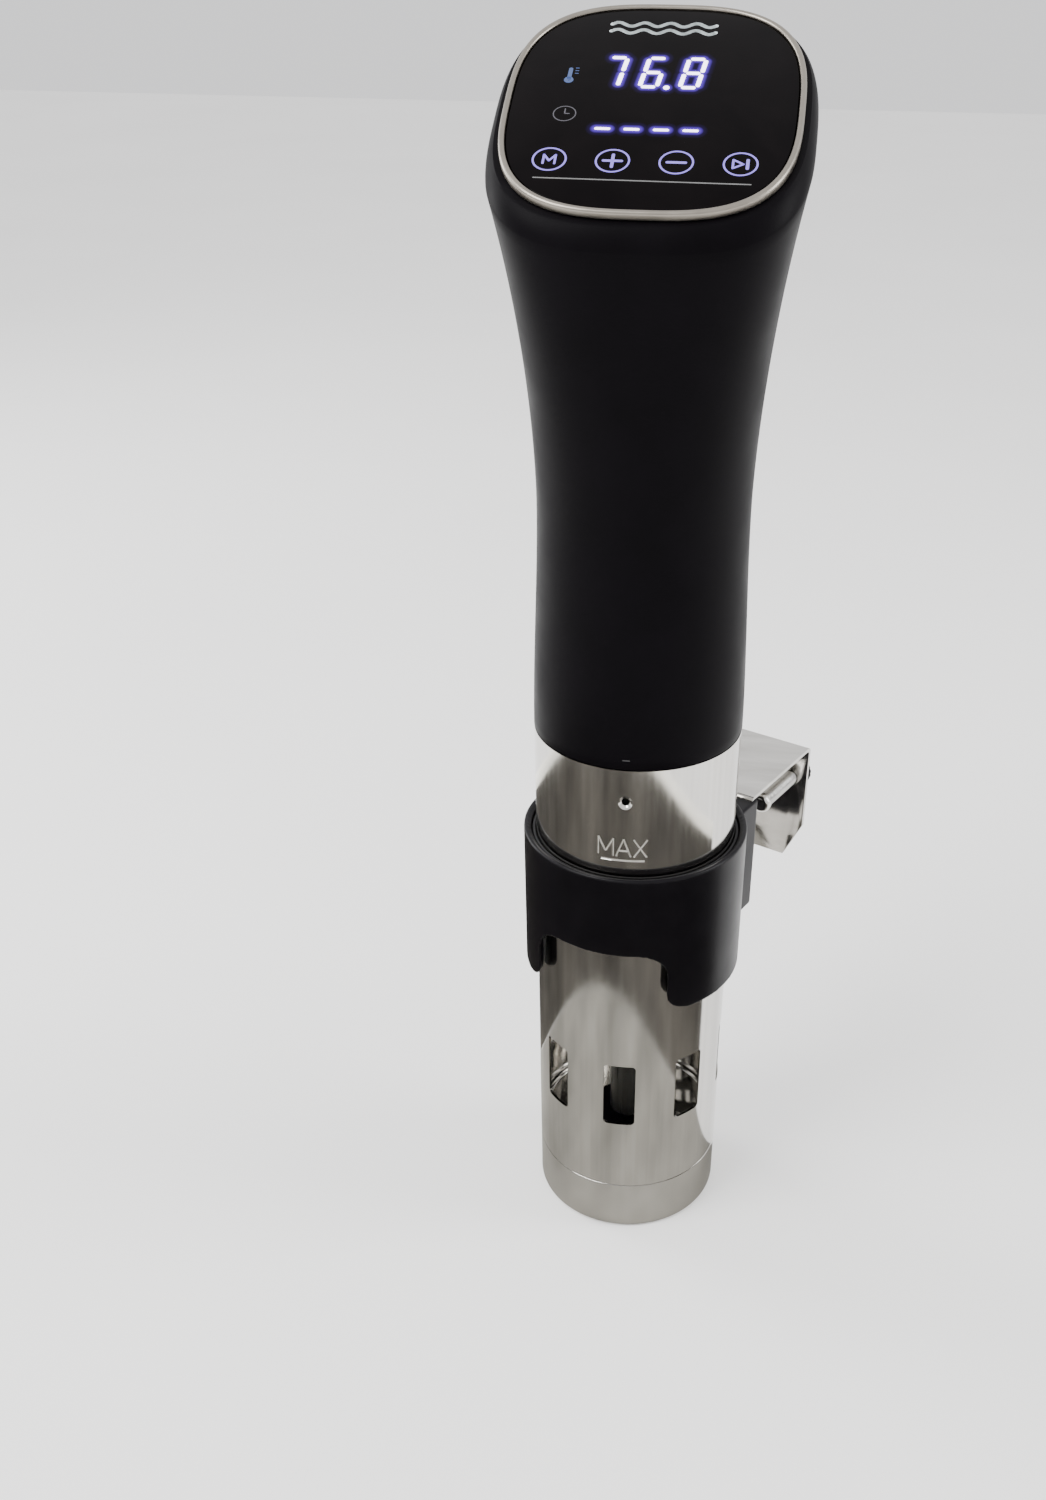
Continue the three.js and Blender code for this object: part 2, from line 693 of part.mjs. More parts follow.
function addSleeve() {
  const windows = spread(windowCount, 0, (angle) => {
    const low = [sleeveBore - 3, -windowWidth / 2, windowHeight - windowRise / 2];
    const high = [sleeveRadius + 1, windowWidth / 2, windowHeight + windowRise / 2];
    return box(low, high).rotateZ(turn(angle));
  });
  const vents = spread(ventCount, 0, (angle) => {
    return peg(ventRadius, sleeveBore - 3, sleeveRadius + 1).translate(0, 0, ventHeight).rotateZ(turn(angle));
  });
  const pins = [neckPinHeight, footPinHeight].flatMap((height) => spread(lockCount, 0, (angle) => {
    const pin = peg(lockPinRadius, sleeveBore - lockPinReach, sleeveBore + sleeveWall / 2, 12);
    return pin.translate(0, 0, height).rotateZ(turn(angle));
  }));
  const tube = ring(sleeveBore, sleeveRadius, footRise + gap, headBase - gap);
  add(circulator, 'steel_sleeve', join(cut(tube, ...windows, ...vents), ...pins), mirrorSteel);
}

function addFoot() {
  const neckTop = footRise + footNeck;
  const bore = sleeveRadius - footWall;
  const foot = lathe([
    [0, 0], [sleeveRadius - 2, 0], [sleeveRadius - 0.6, 0.6], [sleeveRadius, 2],
    [sleeveRadius, footRise], [neckRadius, footRise], [neckRadius, neckTop], [bore, neckTop],
    [bore, footPlate], [0, footPlate],
  ]);
  const outlets = spread(8, 22.5, (angle) => sector(11, 26, -1, footPlate + 1, angle - 12, angle + 12));
  const grooves = lockGrooves(footPinHeight, neckTop + 1, -lockTwist);
  add(circulator, 'foot_cap', cut(foot, ...outlets, ...grooves), brushedSteel);
}

// ---------------------------------------------------------------- pot clamp

const linerRadius = sleeveRadius + gap + linerWall;
const collarBore = linerRadius + gap;
const collarRadius = collarBore + collarWall;
const jawReach = collarRadius + jawDepth;         // jaw's flat face from the sleeve's axis
const jawTop = collarTop - jawDrop;
const bracketReach = jawReach + bracketSpan;
const clampTop = jawTop + gap + sheet;
const screwHeight = clampTop - screwDrop;
const tongueOuter = jawReach - tongueCover;       // tongue of the bracket, inside the jaw
const tongueInner = tongueOuter - sheet;
const tongueFloor = clampTop - tongueDrop;
const fixingHeight = tongueFloor + fixingRaise;
const fixingHead = fixingRadius + 1.6;
const fixingSeat = tongueOuter + 0.9;             // under the heads of the fixing screws

function addCollar(clamp) {
  const archTop = collarFloor + archRise;
  const liner = ring(sleeveRadius + gap, linerRadius, archTop + 1, collarTop - 1.5);
  add(clamp, 'collar_liner', liner, rubber);

  const [bore, outside] = [collarBore, collarRadius];
  const wall = lathe([
    [bore, collarFloor], [outside, collarFloor], [outside, collarTop - 1.5],
    [outside - 0.9, collarTop], [bore + 0.9, collarTop], [bore, collarTop - 0.9],
  ]);
  const jawLow = [-jawWidth / 2, sleeveRadius / 2, collarFloor + jawRaise];
  const jaw = box(jawLow, [jawWidth / 2, jawReach, jawTop]);
  const above = Math.max(jawTop, collarTop) + 1;
  const hollow = rod(bore, collarFloor - 1, above, around);
  const slot = box(
    [-tongueWidth / 2 - gap, tongueInner - gap, tongueFloor - gap],
    [tongueWidth / 2 + gap, tongueOuter + gap, above],
  );
  const half = archWidth / 2;
  const arch = new THREE.Shape();
  const footTop = collarFloor + archFoot;
  arch.moveTo(-half - archFoot, collarFloor - 1);
  arch.lineTo(half + archFoot, collarFloor - 1);
  arch.absarc(half + archFoot, footTop, archFoot, -Math.PI / 2, -Math.PI, true);
  arch.lineTo(half, archTop - archCorner);
  arch.absarc(half - archCorner, archTop - archCorner, archCorner, 0, Math.PI / 2, false);
  arch.absarc(archCorner - half, archTop - archCorner, archCorner, Math.PI / 2, Math.PI, false);
  arch.absarc(-half - archFoot, footTop, archFoot, 0, -Math.PI / 2, true);
  const archTool = prism(arch, 0, outside + 1, 6).rotateX(Math.PI / 2).rotateZ(turn(archTurn));
  const holes = [-1, 1].map((side) => join(
    peg(fixingRadius + gap, bore - 1, jawReach + 1, 12),
    peg(fixingHead + gap, fixingSeat, jawReach + 1, 12),
  ).translate(side * fixingSpread, 0, fixingHeight));
  const body = join(wall, cut(jaw, hollow));
  add(clamp, 'clamp_collar', cut(body, slot, archTool, ...holes), blackPlastic);
}

// Outline of the bracket seen from its side: tongue, bridge and outer plate in one sheet.
function bracketProfile() {
  const [inner, outer] = [tongueInner, bracketReach];
  const [plateEnd, top] = [clampTop - bracketDrop, clampTop];
  const [round, inside] = [sheetBend, sheetBend - sheet + 0.3];
  const shape = new THREE.Shape();
  shape.moveTo(inner, tongueFloor);
  shape.absarc(inner + round, top - round, round, Math.PI, Math.PI / 2, true);
  shape.absarc(outer - round, top - round, round, Math.PI / 2, 0, true);
  shape.lineTo(outer, plateEnd);
  shape.lineTo(outer - sheet, plateEnd);
  shape.absarc(outer - sheet - inside, top - sheet - inside, inside, 0, Math.PI / 2, false);
  shape.absarc(inner + sheet + inside, top - sheet - inside, inside, Math.PI / 2, Math.PI, false);
  shape.lineTo(inner + sheet, tongueFloor);
  return shape;
}

function bracket() {
  const half = bracketWidth / 2;
  const strip = prism(bracketProfile(), -half, half, 4);
  // the profile's across and up become Y and Z, and the extrusion runs along X
  strip.applyMatrix4(new THREE.Matrix4().makeBasis(
    new THREE.Vector3(0, 1, 0), new THREE.Vector3(0, 0, 1), new THREE.Vector3(1, 0, 0),
  ));
  const floor = clampTop - bracketDrop;
  const corners = [-1, 1].map((side) => {
    const [across, rise] = [chamferAcross + 1, (chamferRise * (chamferAcross + 1)) / chamferAcross];
    const edge = side * (half + 1);
    const wedge = new THREE.Shape();
    wedge.moveTo(edge, floor + rise);
    wedge.lineTo(edge, floor - 1);
    wedge.lineTo(edge - (side * across * (rise + 1)) / rise, floor - 1);
    return prism(wedge, -bracketReach - 1, sheet * 2 - bracketReach).rotateX(Math.PI / 2);
  });
  const shoulders = [-1, 1].map((side) => {
    const [from, to] = [tongueWidth / 2, half + 1].map((x) => x * side);
    const low = [Math.min(from, to), tongueInner - 1, tongueFloor - 1];
    return box(low, [Math.max(from, to), jawReach + 0.6, clampTop - sheet - gap]);
  });
  const screwHoles = [-1, 1].map((side) => {
    const hole = peg(screwRadius + gap, bracketReach - 5, bracketReach + 5, 20);
    return hole.translate(side * screwSpread, 0, screwHeight);
  });
  const fixings = [-1, 1].map((side) => {
    const hole = peg(fixingRadius + gap, tongueInner - 1, tongueOuter + 1, 12);
    return hole.translate(side * fixingSpread, 0, fixingHeight);
  });
  return cut(strip, ...corners, ...shoulders, ...screwHoles, ...fixings);
}

function addClamp() {
  const clamp = new THREE.Group();
  clamp.rotation.z = -turn(collarTurn);
  circulator.add(clamp);
  addCollar(clamp);
  add(clamp, 'clamp_bracket', bracket(), mirrorSteel);

  for (const [side, name] of [[-1, 'left'], [1, 'right']]) {
    const fixing = join(
      peg(fixingRadius, tongueInner - 2, jawReach - 0.6, 12),
      peg(fixingHead, fixingSeat + gap, jawReach - gap, 12),
    );
    fixing.translate(side * fixingSpread, 0, fixingHeight);
    add(clamp, `bracket_screw_${name}`, fixing, brushedSteel);

    const plateInside = bracketReach - sheet;
    const tip = plateInside - screwReach;
    const knobFloor = bracketReach + gap;
    const place = (piece) => piece.translate(side * screwSpread, 0, screwHeight);
    const thread = peg(screwRadius, tip, knobFloor + knobLength - 1.5, 20);
    add(clamp, `clamp_screw_${name}`, place(thread), brushedSteel);

    const cup = lathe([
      [0, 0], [footRadius * 0.6, 0], [footRadius, 1.2], [footRadius, footLength - 0.6],
      [footRadius - 0.6, footLength], [0, footLength],
    ], 20);
    cup.rotateX(-Math.PI / 2).translate(0, tip - gap - footLength, 0);
    add(clamp, `clamp_foot_${name}`, place(cup), mirrorSteel);

    const bore = screwRadius + gap;
    const knob = lathe([
      [bore, 0], [knobRadius - 0.6, 0], [knobRadius, 0.6], [knobRadius, knobLength - 0.6],
      [knobRadius - 0.6, knobLength], [bore, knobLength],
    ], 24);
    knob.rotateX(-Math.PI / 2).translate(0, knobFloor, 0);
    add(clamp, `clamp_knob_${name}`, place(knob), blackPlastic);
  }
}

addHead();
addPanel();
addElectronics();
addBulkhead();
addPump();
addHeater();
addSleeve();
addFoot();
addClamp();

export default circulator;
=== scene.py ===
"""Looks of the sous vide circulator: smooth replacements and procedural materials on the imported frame.

Lengths are written in millimetres and turned into metres where a mesh is made.
"""
import json
import math

import bmesh
import bpy
import numpy as np
from mathutils import Matrix, Vector


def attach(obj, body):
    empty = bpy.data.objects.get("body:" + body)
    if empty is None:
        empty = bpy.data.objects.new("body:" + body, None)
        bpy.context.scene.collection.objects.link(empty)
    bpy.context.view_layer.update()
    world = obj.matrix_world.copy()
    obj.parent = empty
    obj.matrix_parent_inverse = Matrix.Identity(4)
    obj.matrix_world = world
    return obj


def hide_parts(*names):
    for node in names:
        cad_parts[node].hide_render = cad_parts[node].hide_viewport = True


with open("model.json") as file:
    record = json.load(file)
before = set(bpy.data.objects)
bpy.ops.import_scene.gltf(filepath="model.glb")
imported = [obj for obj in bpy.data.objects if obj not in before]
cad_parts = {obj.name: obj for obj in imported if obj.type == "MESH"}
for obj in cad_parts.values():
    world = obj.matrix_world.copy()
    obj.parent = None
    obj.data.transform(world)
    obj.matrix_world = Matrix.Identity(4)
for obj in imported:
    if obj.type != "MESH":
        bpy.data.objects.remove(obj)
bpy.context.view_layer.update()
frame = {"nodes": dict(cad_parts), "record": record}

MM = 0.001
SCENE = bpy.context.scene

# ------------------------------------------------------------ sizes, as in the CAD model

GAP = 0.3
SLEEVE_RADIUS, SLEEVE_WALL = 34.0, 0.9
SLEEVE_BORE = SLEEVE_RADIUS - SLEEVE_WALL
VENT_HEIGHT, VENT_COUNT, VENT_RADIUS, VENT_BORE = 188.3, 4, 2.4, 1.3
WINDOW_HEIGHT, WINDOW_WIDTH, WINDOW_RISE, WINDOW_COUNT = 66.5, 11.5, 27.5, 8
HEAD_BASE, HEAD_RISE = 200.0, 177.3
HEAD_RADIUS, BASE_RADIUS, WAIST_RADIUS = 42.6, 34.1, 32.2
WAIST_RISE, FLARE, SHOULDER, LIP_RADIUS = 74.0, 1.7, 6.0, 40.5
TILT = math.radians(29)
HOUSING_WALL = 2.4
INLET_RISE, INLET_RADIUS, CORD_RADIUS = 130.0, 5.6, 3.6
SLOT_COUNT, SLOT_FLOOR, SLOT_PITCH, SLOT_RISE, SLOT_WIDTH = 4, 62.0, 6.0, 2.4, 26.0
PANEL_HEIGHT = HEAD_BASE + HEAD_RISE
PANEL_STRETCH, PANEL_DROP, PANEL_POWER = 3.0, 2.0, 3.0
BEZEL_RADIUS, BEZEL_BORE = 39.0, 37.4
RING_TOP, GLASS_FLOOR, GLASS_TOP = 2.5, 0.5, 1.9
BUTTON_PITCH, BUTTON_DROP = 16.1, 24.1
FOOT_RISE, FOOT_WALL, FOOT_PLATE, FOOT_NECK = 21.7, 3.0, 3.0, 10.0
NECK_RADIUS = SLEEVE_BORE - GAP - 0.1
OUTLET_COUNT, OUTLET_OUTER, OUTLET_INNER, OUTLET_HALF = 8, 26.0, 11.0, math.radians(12)
LOCK_COUNT, LOCK_TWIST, PIN_RADIUS, PIN_TIP = 3, math.radians(20), 1.6, 31.9
HEAD_PIN_HEIGHT, FOOT_PIN_HEIGHT = HEAD_BASE - 4, FOOT_RISE + GAP + 6
LINER_RADIUS = SLEEVE_RADIUS + GAP + 1
COLLAR_BORE = LINER_RADIUS + GAP
COLLAR_RADIUS = COLLAR_BORE + 2.6
COLLAR_TOP, COLLAR_FLOOR = 161.7, 107.4
ARCH_TURN, ARCH_RISE, ARCH_WIDTH, ARCH_CORNER, ARCH_FOOT = 12.0, 24.1, 46.5, 9.0, 7.0
JAW_WIDTH, JAW_REACH, JAW_TOP, JAW_RAISE = 53.0, 40.0, 159.8, 8.0
SHEET, BEND = 1.3, 2.0
TONGUE_OUTER = JAW_REACH - 2
TONGUE_INNER = TONGUE_OUTER - SHEET
BRACKET_WIDTH, BRACKET_REACH, BRACKET_DROP = 51.5, 83.0, 49.0
CHAMFER_ACROSS, CHAMFER_RISE = 7.0, 15.0
TONGUE_WIDTH, TONGUE_DROP = 38.0, 27.0
CLAMP_TOP = JAW_TOP + GAP + SHEET
SCREW_SPREAD, SCREW_HEIGHT, SCREW_RADIUS, SCREW_REACH = 18.7, CLAMP_TOP - 14.8, 3.0, 20.8
THREAD_PITCH, THREAD_DEPTH = 1.0, 0.42
CUP_RADIUS, CUP_LENGTH = 3.7, 3.4
KNOB_RADIUS, KNOB_LENGTH = 5.5, 6.5
FIXING_SPREAD, FIXING_HEIGHT, FIXING_RADIUS = 12.0, CLAMP_TOP - TONGUE_DROP + 10, 1.5
FIXING_SEAT = TONGUE_OUTER + 0.9 + GAP
HEATER_SPREAD, HEATER_BEND, HEATER_RADIUS, HEATER_FLOOR = 15.0, 9.0, 3.2, 84.0
HEATER_TOP, HEATER_LEG = 202.5, 118.0

CLAMP_TURN = 25.5
CLAMP = Matrix.Rotation(-math.radians(CLAMP_TURN), 4, "Z")
PANEL = Matrix.Translation((0, 0, PANEL_HEIGHT)) @ Matrix.Rotation(TILT, 4, "X")
ALONG_Y = Matrix.Rotation(-math.pi / 2, 4, "X")          # a piece made along Z then lies along Y
UPRIGHT = Matrix.Rotation(math.pi / 2, 4, "X")           # an outline then stands up and faces the front

# ------------------------------------------------------------ materials


def material(name):
    made = bpy.data.materials.new(name)
    made.use_nodes = True
    nodes, links = made.node_tree.nodes, made.node_tree.links
    return made, nodes, links, nodes["Principled BSDF"]


def noise(nodes, links, scale, stretch=(1, 1, 1), detail=4.0, distortion=0.0):
    """Noise over the object's own coordinates; scale is in features per metre."""
    place = nodes.new("ShaderNodeTexCoord")
    mapping = nodes.new("ShaderNodeMapping")
    mapping.inputs["Scale"].default_value = stretch
    texture = nodes.new("ShaderNodeTexNoise")
    texture.inputs["Scale"].default_value = scale
    texture.inputs["Detail"].default_value = detail
    texture.inputs["Distortion"].default_value = distortion
    links.new(place.outputs["Object"], mapping.inputs["Vector"])
    links.new(mapping.outputs["Vector"], texture.inputs["Vector"])
    return texture.outputs["Fac"]


def ramp(nodes, links, factor, stops):
    node = nodes.new("ShaderNodeValToRGB")
    elements = node.color_ramp.elements
    while len(elements) < len(stops):
        elements.new(0.5)
    for element, (position, value) in zip(elements, stops):
        element.position = position
        color = value if isinstance(value, tuple) else (value, value, value)
        element.color = (*color, 1)
    links.new(factor, node.inputs["Fac"])
    return node.outputs["Color"]


def bump(nodes, links, shader, height, strength, distance):
    node = nodes.new("ShaderNodeBump")
    node.inputs["Strength"].default_value = strength
    node.inputs["Distance"].default_value = distance * MM
    links.new(height, node.inputs["Height"])
    links.new(node.outputs["Normal"], shader.inputs["Normal"])


def tint(color, factor):
    return tuple(min(1.0, channel * factor) for channel in color)


def surface(name, color, roughness, metal=0.0, spread=0.12, patchy=0.06, scale=60, stretch=(1, 1, 1),
            grain=1500, grain_depth=0.01, specular=0.5):
    """A plain material: broad colour and gloss variation, and a fine grain in its bump."""
    made, nodes, links, shader = material(name)
    shader.inputs["Metallic"].default_value = metal
    shader.inputs["Specular IOR Level"].default_value = specular
    broad = noise(nodes, links, scale, stretch)
    stops = [(0.3, tint(color, 1 - spread)), (0.7, tint(color, 1 + spread))]
    links.new(ramp(nodes, links, broad, stops), shader.inputs["Base Color"])
    stops = [(0.25, max(0.02, roughness - patchy)), (0.75, roughness + patchy)]
    links.new(ramp(nodes, links, broad, stops), shader.inputs["Roughness"])
    fine = noise(nodes, links, grain, stretch, 2.0)
    bump(nodes, links, shader, fine, 0.5, grain_depth)
    return made


STREAKED = (1, 1, 0.03)

finishes = {
    "black_plastic": surface("black_plastic", (0.0024, 0.0019, 0.0027), 0.42, spread=0.2, grain=2600,
                             grain_depth=0.02, specular=0.035),
    "grey_plastic": surface("grey_plastic", (0.04, 0.04, 0.043), 0.5, grain=2200, grain_depth=0.02),
    "white_plastic": surface("white_plastic", (0.66, 0.65, 0.6), 0.35, spread=0.05, grain_depth=0.008),
    "satin_silver": surface("satin_silver", (0.28, 0.255, 0.22), 0.34, 1.0, spread=0.08, scale=120,
                            grain=3500, grain_depth=0.004),
    "polished_steel": surface("polished_steel", (0.66, 0.645, 0.615), 0.1, 1.0, spread=0.06, patchy=0.03,
                              scale=90, stretch=STREAKED, grain=1400, grain_depth=0.0006),
    "brushed_steel": surface("brushed_steel", (0.5, 0.5, 0.49), 0.3, 1.0, scale=400, stretch=STREAKED,
                             grain=2500, grain_depth=0.004),
    "aluminium": surface("aluminium", (0.6, 0.6, 0.61), 0.38, 1.0, scale=300, grain_depth=0.006),
    "brass": surface("brass", (0.62, 0.42, 0.16), 0.32, 1.0, spread=0.18, scale=200, grain_depth=0.005),
    "copper": surface("copper", (0.6, 0.25, 0.11), 0.36, 1.0, spread=0.2, scale=900,
                      stretch=(0.05, 0.05, 1), grain_depth=0.02),
    "rubber": surface("rubber", (0.012, 0.012, 0.013), 0.75, grain=1800, grain_depth=0.03, specular=0.3),
    "silicone": surface("silicone", (0.26, 0.035, 0.022), 0.55, grain=900, grain_depth=0.02),
}


def circuit_board():
    """Green solder mask with the relief of copper tracks under it."""
    made, nodes, links, shader = material("circuit_board")
    place = nodes.new("ShaderNodeTexCoord")
    tracks = nodes.new("ShaderNodeTexBrick")
    tracks.inputs["Scale"].default_value = 260
    tracks.inputs["Mortar Size"].default_value = 0.06
    tracks.inputs["Color1"].default_value = (0.012, 0.085, 0.035, 1)
    tracks.inputs["Color2"].default_value = (0.016, 0.11, 0.045, 1)
    tracks.inputs["Mortar"].default_value = (0.05, 0.2, 0.07, 1)
    links.new(place.outputs["Object"], tracks.inputs["Vector"])
    links.new(tracks.outputs["Color"], shader.inputs["Base Color"])
    links.new(ramp(nodes, links, noise(nodes, links, 500), [(0.3, 0.25), (0.7, 0.4)]),
              shader.inputs["Roughness"])
    bump(nodes, links, shader, tracks.outputs["Fac"], 0.5, 0.05)
    return made


finishes["circuit_board"] = circuit_board()


def light(name, color, strength, base=(0.3, 0.3, 0.35)):
    """A legend that shines through the glass, a little uneven as its lamp is."""
    made, nodes, links, shader = material(name)
    shader.inputs["Roughness"].default_value = 0.3
    shader.inputs["Emission Strength"].default_value = strength
    uneven = noise(nodes, links, 500, detail=2.0)
    links.new(ramp(nodes, links, uneven, [(0.2, tint(color, 0.8)), (0.8, color)]),
              shader.inputs["Emission Color"])
    links.new(ramp(nodes, links, uneven, [(0.2, tint(base, 0.8)), (0.8, base)]),
              shader.inputs["Base Color"])
    return made


def print_ink(name, color):
    return surface(name, color, 0.4, spread=0.15, scale=300, grain_depth=0.002)


# ------------------------------------------------------------ mesh code


def piece(name, points, faces, place=None):
    """A mesh object from points in millimetres, with doubled points merged and faces pointing out."""
    mesh = bpy.data.meshes.new(name)
    mesh.from_pydata([tuple(p) for p in points], [], faces)
    work = bmesh.new()
    work.from_mesh(mesh)
    bmesh.ops.remove_doubles(work, verts=work.verts, dist=1e-5)
    bmesh.ops.dissolve_degenerate(work, edges=work.edges, dist=1e-6)
    bmesh.ops.recalc_face_normals(work, faces=work.faces)
    work.to_mesh(mesh)
    work.free()
    mesh.transform(Matrix.Scale(MM, 4))
    if place is not None:
        moved = place.copy()
        moved.translation = moved.translation * MM
        mesh.transform(moved)
    made = bpy.data.objects.new(name, mesh)
    SCENE.collection.objects.link(made)
    return made


def smooth(made, degrees=35):
    for polygon in made.data.polygons:
        polygon.use_smooth = True
    made.data.set_sharp_from_angle(angle=math.radians(degrees))
    return made


def rounded(outline, radii, steps=5):
    """The closed outline with each corner rounded to its radius."""
    result = []
    count = len(outline)
    for i, corner in enumerate(outline):
        radius = radii[i] if isinstance(radii, (list, tuple)) else radii
        here = np.array(corner, float)
        before = np.array(outline[i - 1], float) - here
        after = np.array(outline[(i + 1) % count], float) - here
        if radius <= 0:
            result.append(here)
            continue
        first, second = np.linalg.norm(before), np.linalg.norm(after)
        cosine = np.dot(before, after) / (first * second)
        half = math.acos(max(-1, min(1, cosine))) / 2
        reach = min(radius / math.tan(half), 0.49 * first, 0.49 * second)
        start, end = here + before / first * reach, here + after / second * reach
        bisector = before / first + after / second
        bisector /= np.linalg.norm(bisector)
        fitted = reach * math.tan(half)
        centre = here + bisector * (fitted / math.sin(half))
        a, b = start - centre, end - centre
        swing = math.atan2(a[0] * b[1] - a[1] * b[0], np.dot(a, b))
        for k in range(steps + 1):
            t = swing * k / steps
            turned = (a[0] * math.cos(t) - a[1] * math.sin(t), a[0] * math.sin(t) + a[1] * math.cos(t))
            result.append(centre + turned)
    return result


def grid(rows, around_rows=True, around_columns=True):
    """Points and quads of rows of points that have as many points each."""
    rows = np.array(rows, float)
    height, width = rows.shape[:2]
    faces = []
    for i in range(height if around_rows else height - 1):
        for j in range(width if around_columns else width - 1):
            below, above = i * width, ((i + 1) % height) * width
            after = (j + 1) % width
            faces.append((below + j, below + after, above + after, above + j))
    return rows.reshape(-1, 3), faces


def lathe(name, outline, facets=128, place=None, wave=None):
    """Turns a closed outline of (radius, height) about Z; wave changes a radius by angle and height."""
    angles = [2 * math.pi * j / facets for j in range(facets)]
    rows = []
    for radius, height in outline:
        row = []
        for angle in angles:
            r = radius + (wave(radius, angle, height) if wave else 0)
            row.append((r * math.cos(angle), r * math.sin(angle), height))
        rows.append(row)
    return smooth(piece(name, *grid(rows), place))


def prism(name, outline, floor, top, place=None):
    count = len(outline)
    points = [(x, y, floor) for x, y in outline] + [(x, y, top) for x, y in outline]
    faces = [tuple(range(count - 1, -1, -1)), tuple(range(count, 2 * count))]
    faces += [(i, (i + 1) % count, count + (i + 1) % count, count + i) for i in range(count)]
    return piece(name, points, faces, place)


def block(name, low, high, place=None):
    corners = [(low[0], low[1]), (high[0], low[1]), (high[0], high[1]), (low[0], high[1])]
    return prism(name, corners, low[2], high[2], place)


def sweep(name, path, radius, facets=24, place=None):
    """A capped round rod along a path of points."""
    path = [Vector(p) for p in path]
    rows = []
    side = None
    for i, here in enumerate(path):
        ahead = (path[min(i + 1, len(path) - 1)] - path[max(i - 1, 0)]).normalized()
        if side is None:
            side = ahead.orthogonal().normalized()
        side = (side - ahead * side.dot(ahead)).normalized()
        other = ahead.cross(side)
        angles = [2 * math.pi * j / facets for j in range(facets)]
        rows.append([here + (side * math.cos(a) + other * math.sin(a)) * radius for a in angles])
    points, faces = grid([[tuple(p) for p in row] for row in rows], around_rows=False)
    last = (len(path) - 1) * facets
    faces += [tuple(range(facets - 1, -1, -1)), tuple(range(last, last + facets))]
    return smooth(piece(name, points, faces, place))


def baked(made):
    """Applies the object's modifiers to its mesh."""
    graph = bpy.context.evaluated_depsgraph_get()
    mesh = bpy.data.meshes.new_from_object(made.evaluated_get(graph))
    made.modifiers.clear()
    made.data = mesh
    return made


def carve(made, *tools, operation="DIFFERENCE"):
    for tool in tools:
        modifier = made.modifiers.new("carve", "BOOLEAN")
        modifier.operation = operation
        modifier.solver = "EXACT"
        modifier.object = tool
    baked(made)
    for tool in tools:
        bpy.data.objects.remove(tool)
    return made


def joined(name, parts):
    """One object with all the parts' points and faces."""
    points, faces = [], []
    for part in parts:
        start = len(points)
        points += [v.co / MM for v in part.data.vertices]
        faces += [tuple(start + v for v in p.vertices) for p in part.data.polygons]
        bpy.data.objects.remove(part)
    return piece(name, points, faces)


def bevelled(made, width, segments=2, degrees=40):
    modifier = made.modifiers.new("bevel", "BEVEL")
    modifier.width = width * MM
    modifier.segments = segments
    modifier.limit_method = "ANGLE"
    modifier.angle_limit = math.radians(degrees)
    modifier.harden_normals = False
    return baked(made)


def softened(made, voxel, rounds):
    """Remeshes a piece evenly and rounds its edges, as moulded plastic has them."""
    modifier = made.modifiers.new("remesh", "REMESH")
    modifier.mode = "VOXEL"
    modifier.voxel_size = voxel * MM
    modifier = made.modifiers.new("round", "SMOOTH")
    modifier.factor = 0.5
    modifier.iterations = rounds
    baked(made)
    for polygon in made.data.polygons:
        polygon.use_smooth = True
    return made


def true_round(made, radius):
    """Gives the faces on a turned surface that surface's own normals, so that reflections run clean."""
    mesh = made.data
    normals = [None] * len(mesh.loops)
    for polygon in mesh.polygons:
        out = Vector((polygon.center.x, polygon.center.y, 0)).normalized()
        reach = [math.hypot(*mesh.vertices[v].co.xy) for v in polygon.vertices]
        turned = polygon.normal.dot(out) > 0.9995 and min(reach) > (radius - 0.02) * MM
        polygon.use_smooth = True
        for index in polygon.loop_indices:
            co = mesh.vertices[mesh.loops[index].vertex_index].co
            normals[index] = Vector((co.x, co.y, 0)).normalized() if turned else polygon.normal
    mesh.normals_split_custom_set(normals)
    return made


def finish(made, body, slot, *nodes, look=None):
    made.data.materials.clear()
    made.data.materials.append(look or finishes[slot])
    if nodes:
        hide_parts(*nodes)
    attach(made, body)
    return made


# ------------------------------------------------------------ head


def smoothstep(value, low, high):
    t = max(0.0, min(1.0, (value - low) / (high - low)))
    return t * t * (3 - 2 * t)


def opening(rise):
    """How far the waist has opened out into the head at a height above its underside."""
    side = HEAD_RISE - SHOULDER - WAIST_RISE
    return max(0.0, min(1.0, (rise - WAIST_RISE) / side)) ** FLARE


def head_section(rise):
    """Half-width and half-depth of the head at a height above its underside."""
    opened = opening(rise)
    rolled = max(0.0, (rise - HEAD_RISE + SHOULDER) / SHOULDER)
    roll = 1 - math.sqrt(1 - min(1.0, rolled) ** 2 * 0.75)
    waist = BASE_RADIUS + (WAIST_RADIUS - BASE_RADIUS) * smoothstep(rise, 0, WAIST_RISE)
    lip_depth = (LIP_RADIUS + PANEL_STRETCH) * math.cos(TILT)
    half_depth = lip_depth + HEAD_RADIUS - LIP_RADIUS
    width = waist + (HEAD_RADIUS - WAIST_RADIUS) * opened - 2 * (HEAD_RADIUS - LIP_RADIUS) * roll
    depth = waist + (half_depth - WAIST_RADIUS) * opened - 2 * (half_depth - lip_depth) * roll
    return width, depth


def rounded_square(width, depth, power, facets=192):
    """Points of a rounded square with these half-sizes, which power 2 makes an ellipse."""
    points = []
    for i in range(facets):
        angle = 2 * math.pi * i / facets
        across, along = abs(math.cos(angle) / width), abs(math.sin(angle) / depth)
        reach = (across ** power + along ** power) ** (-1 / power)
        points.append((reach * math.cos(angle), reach * math.sin(angle)))
    return points


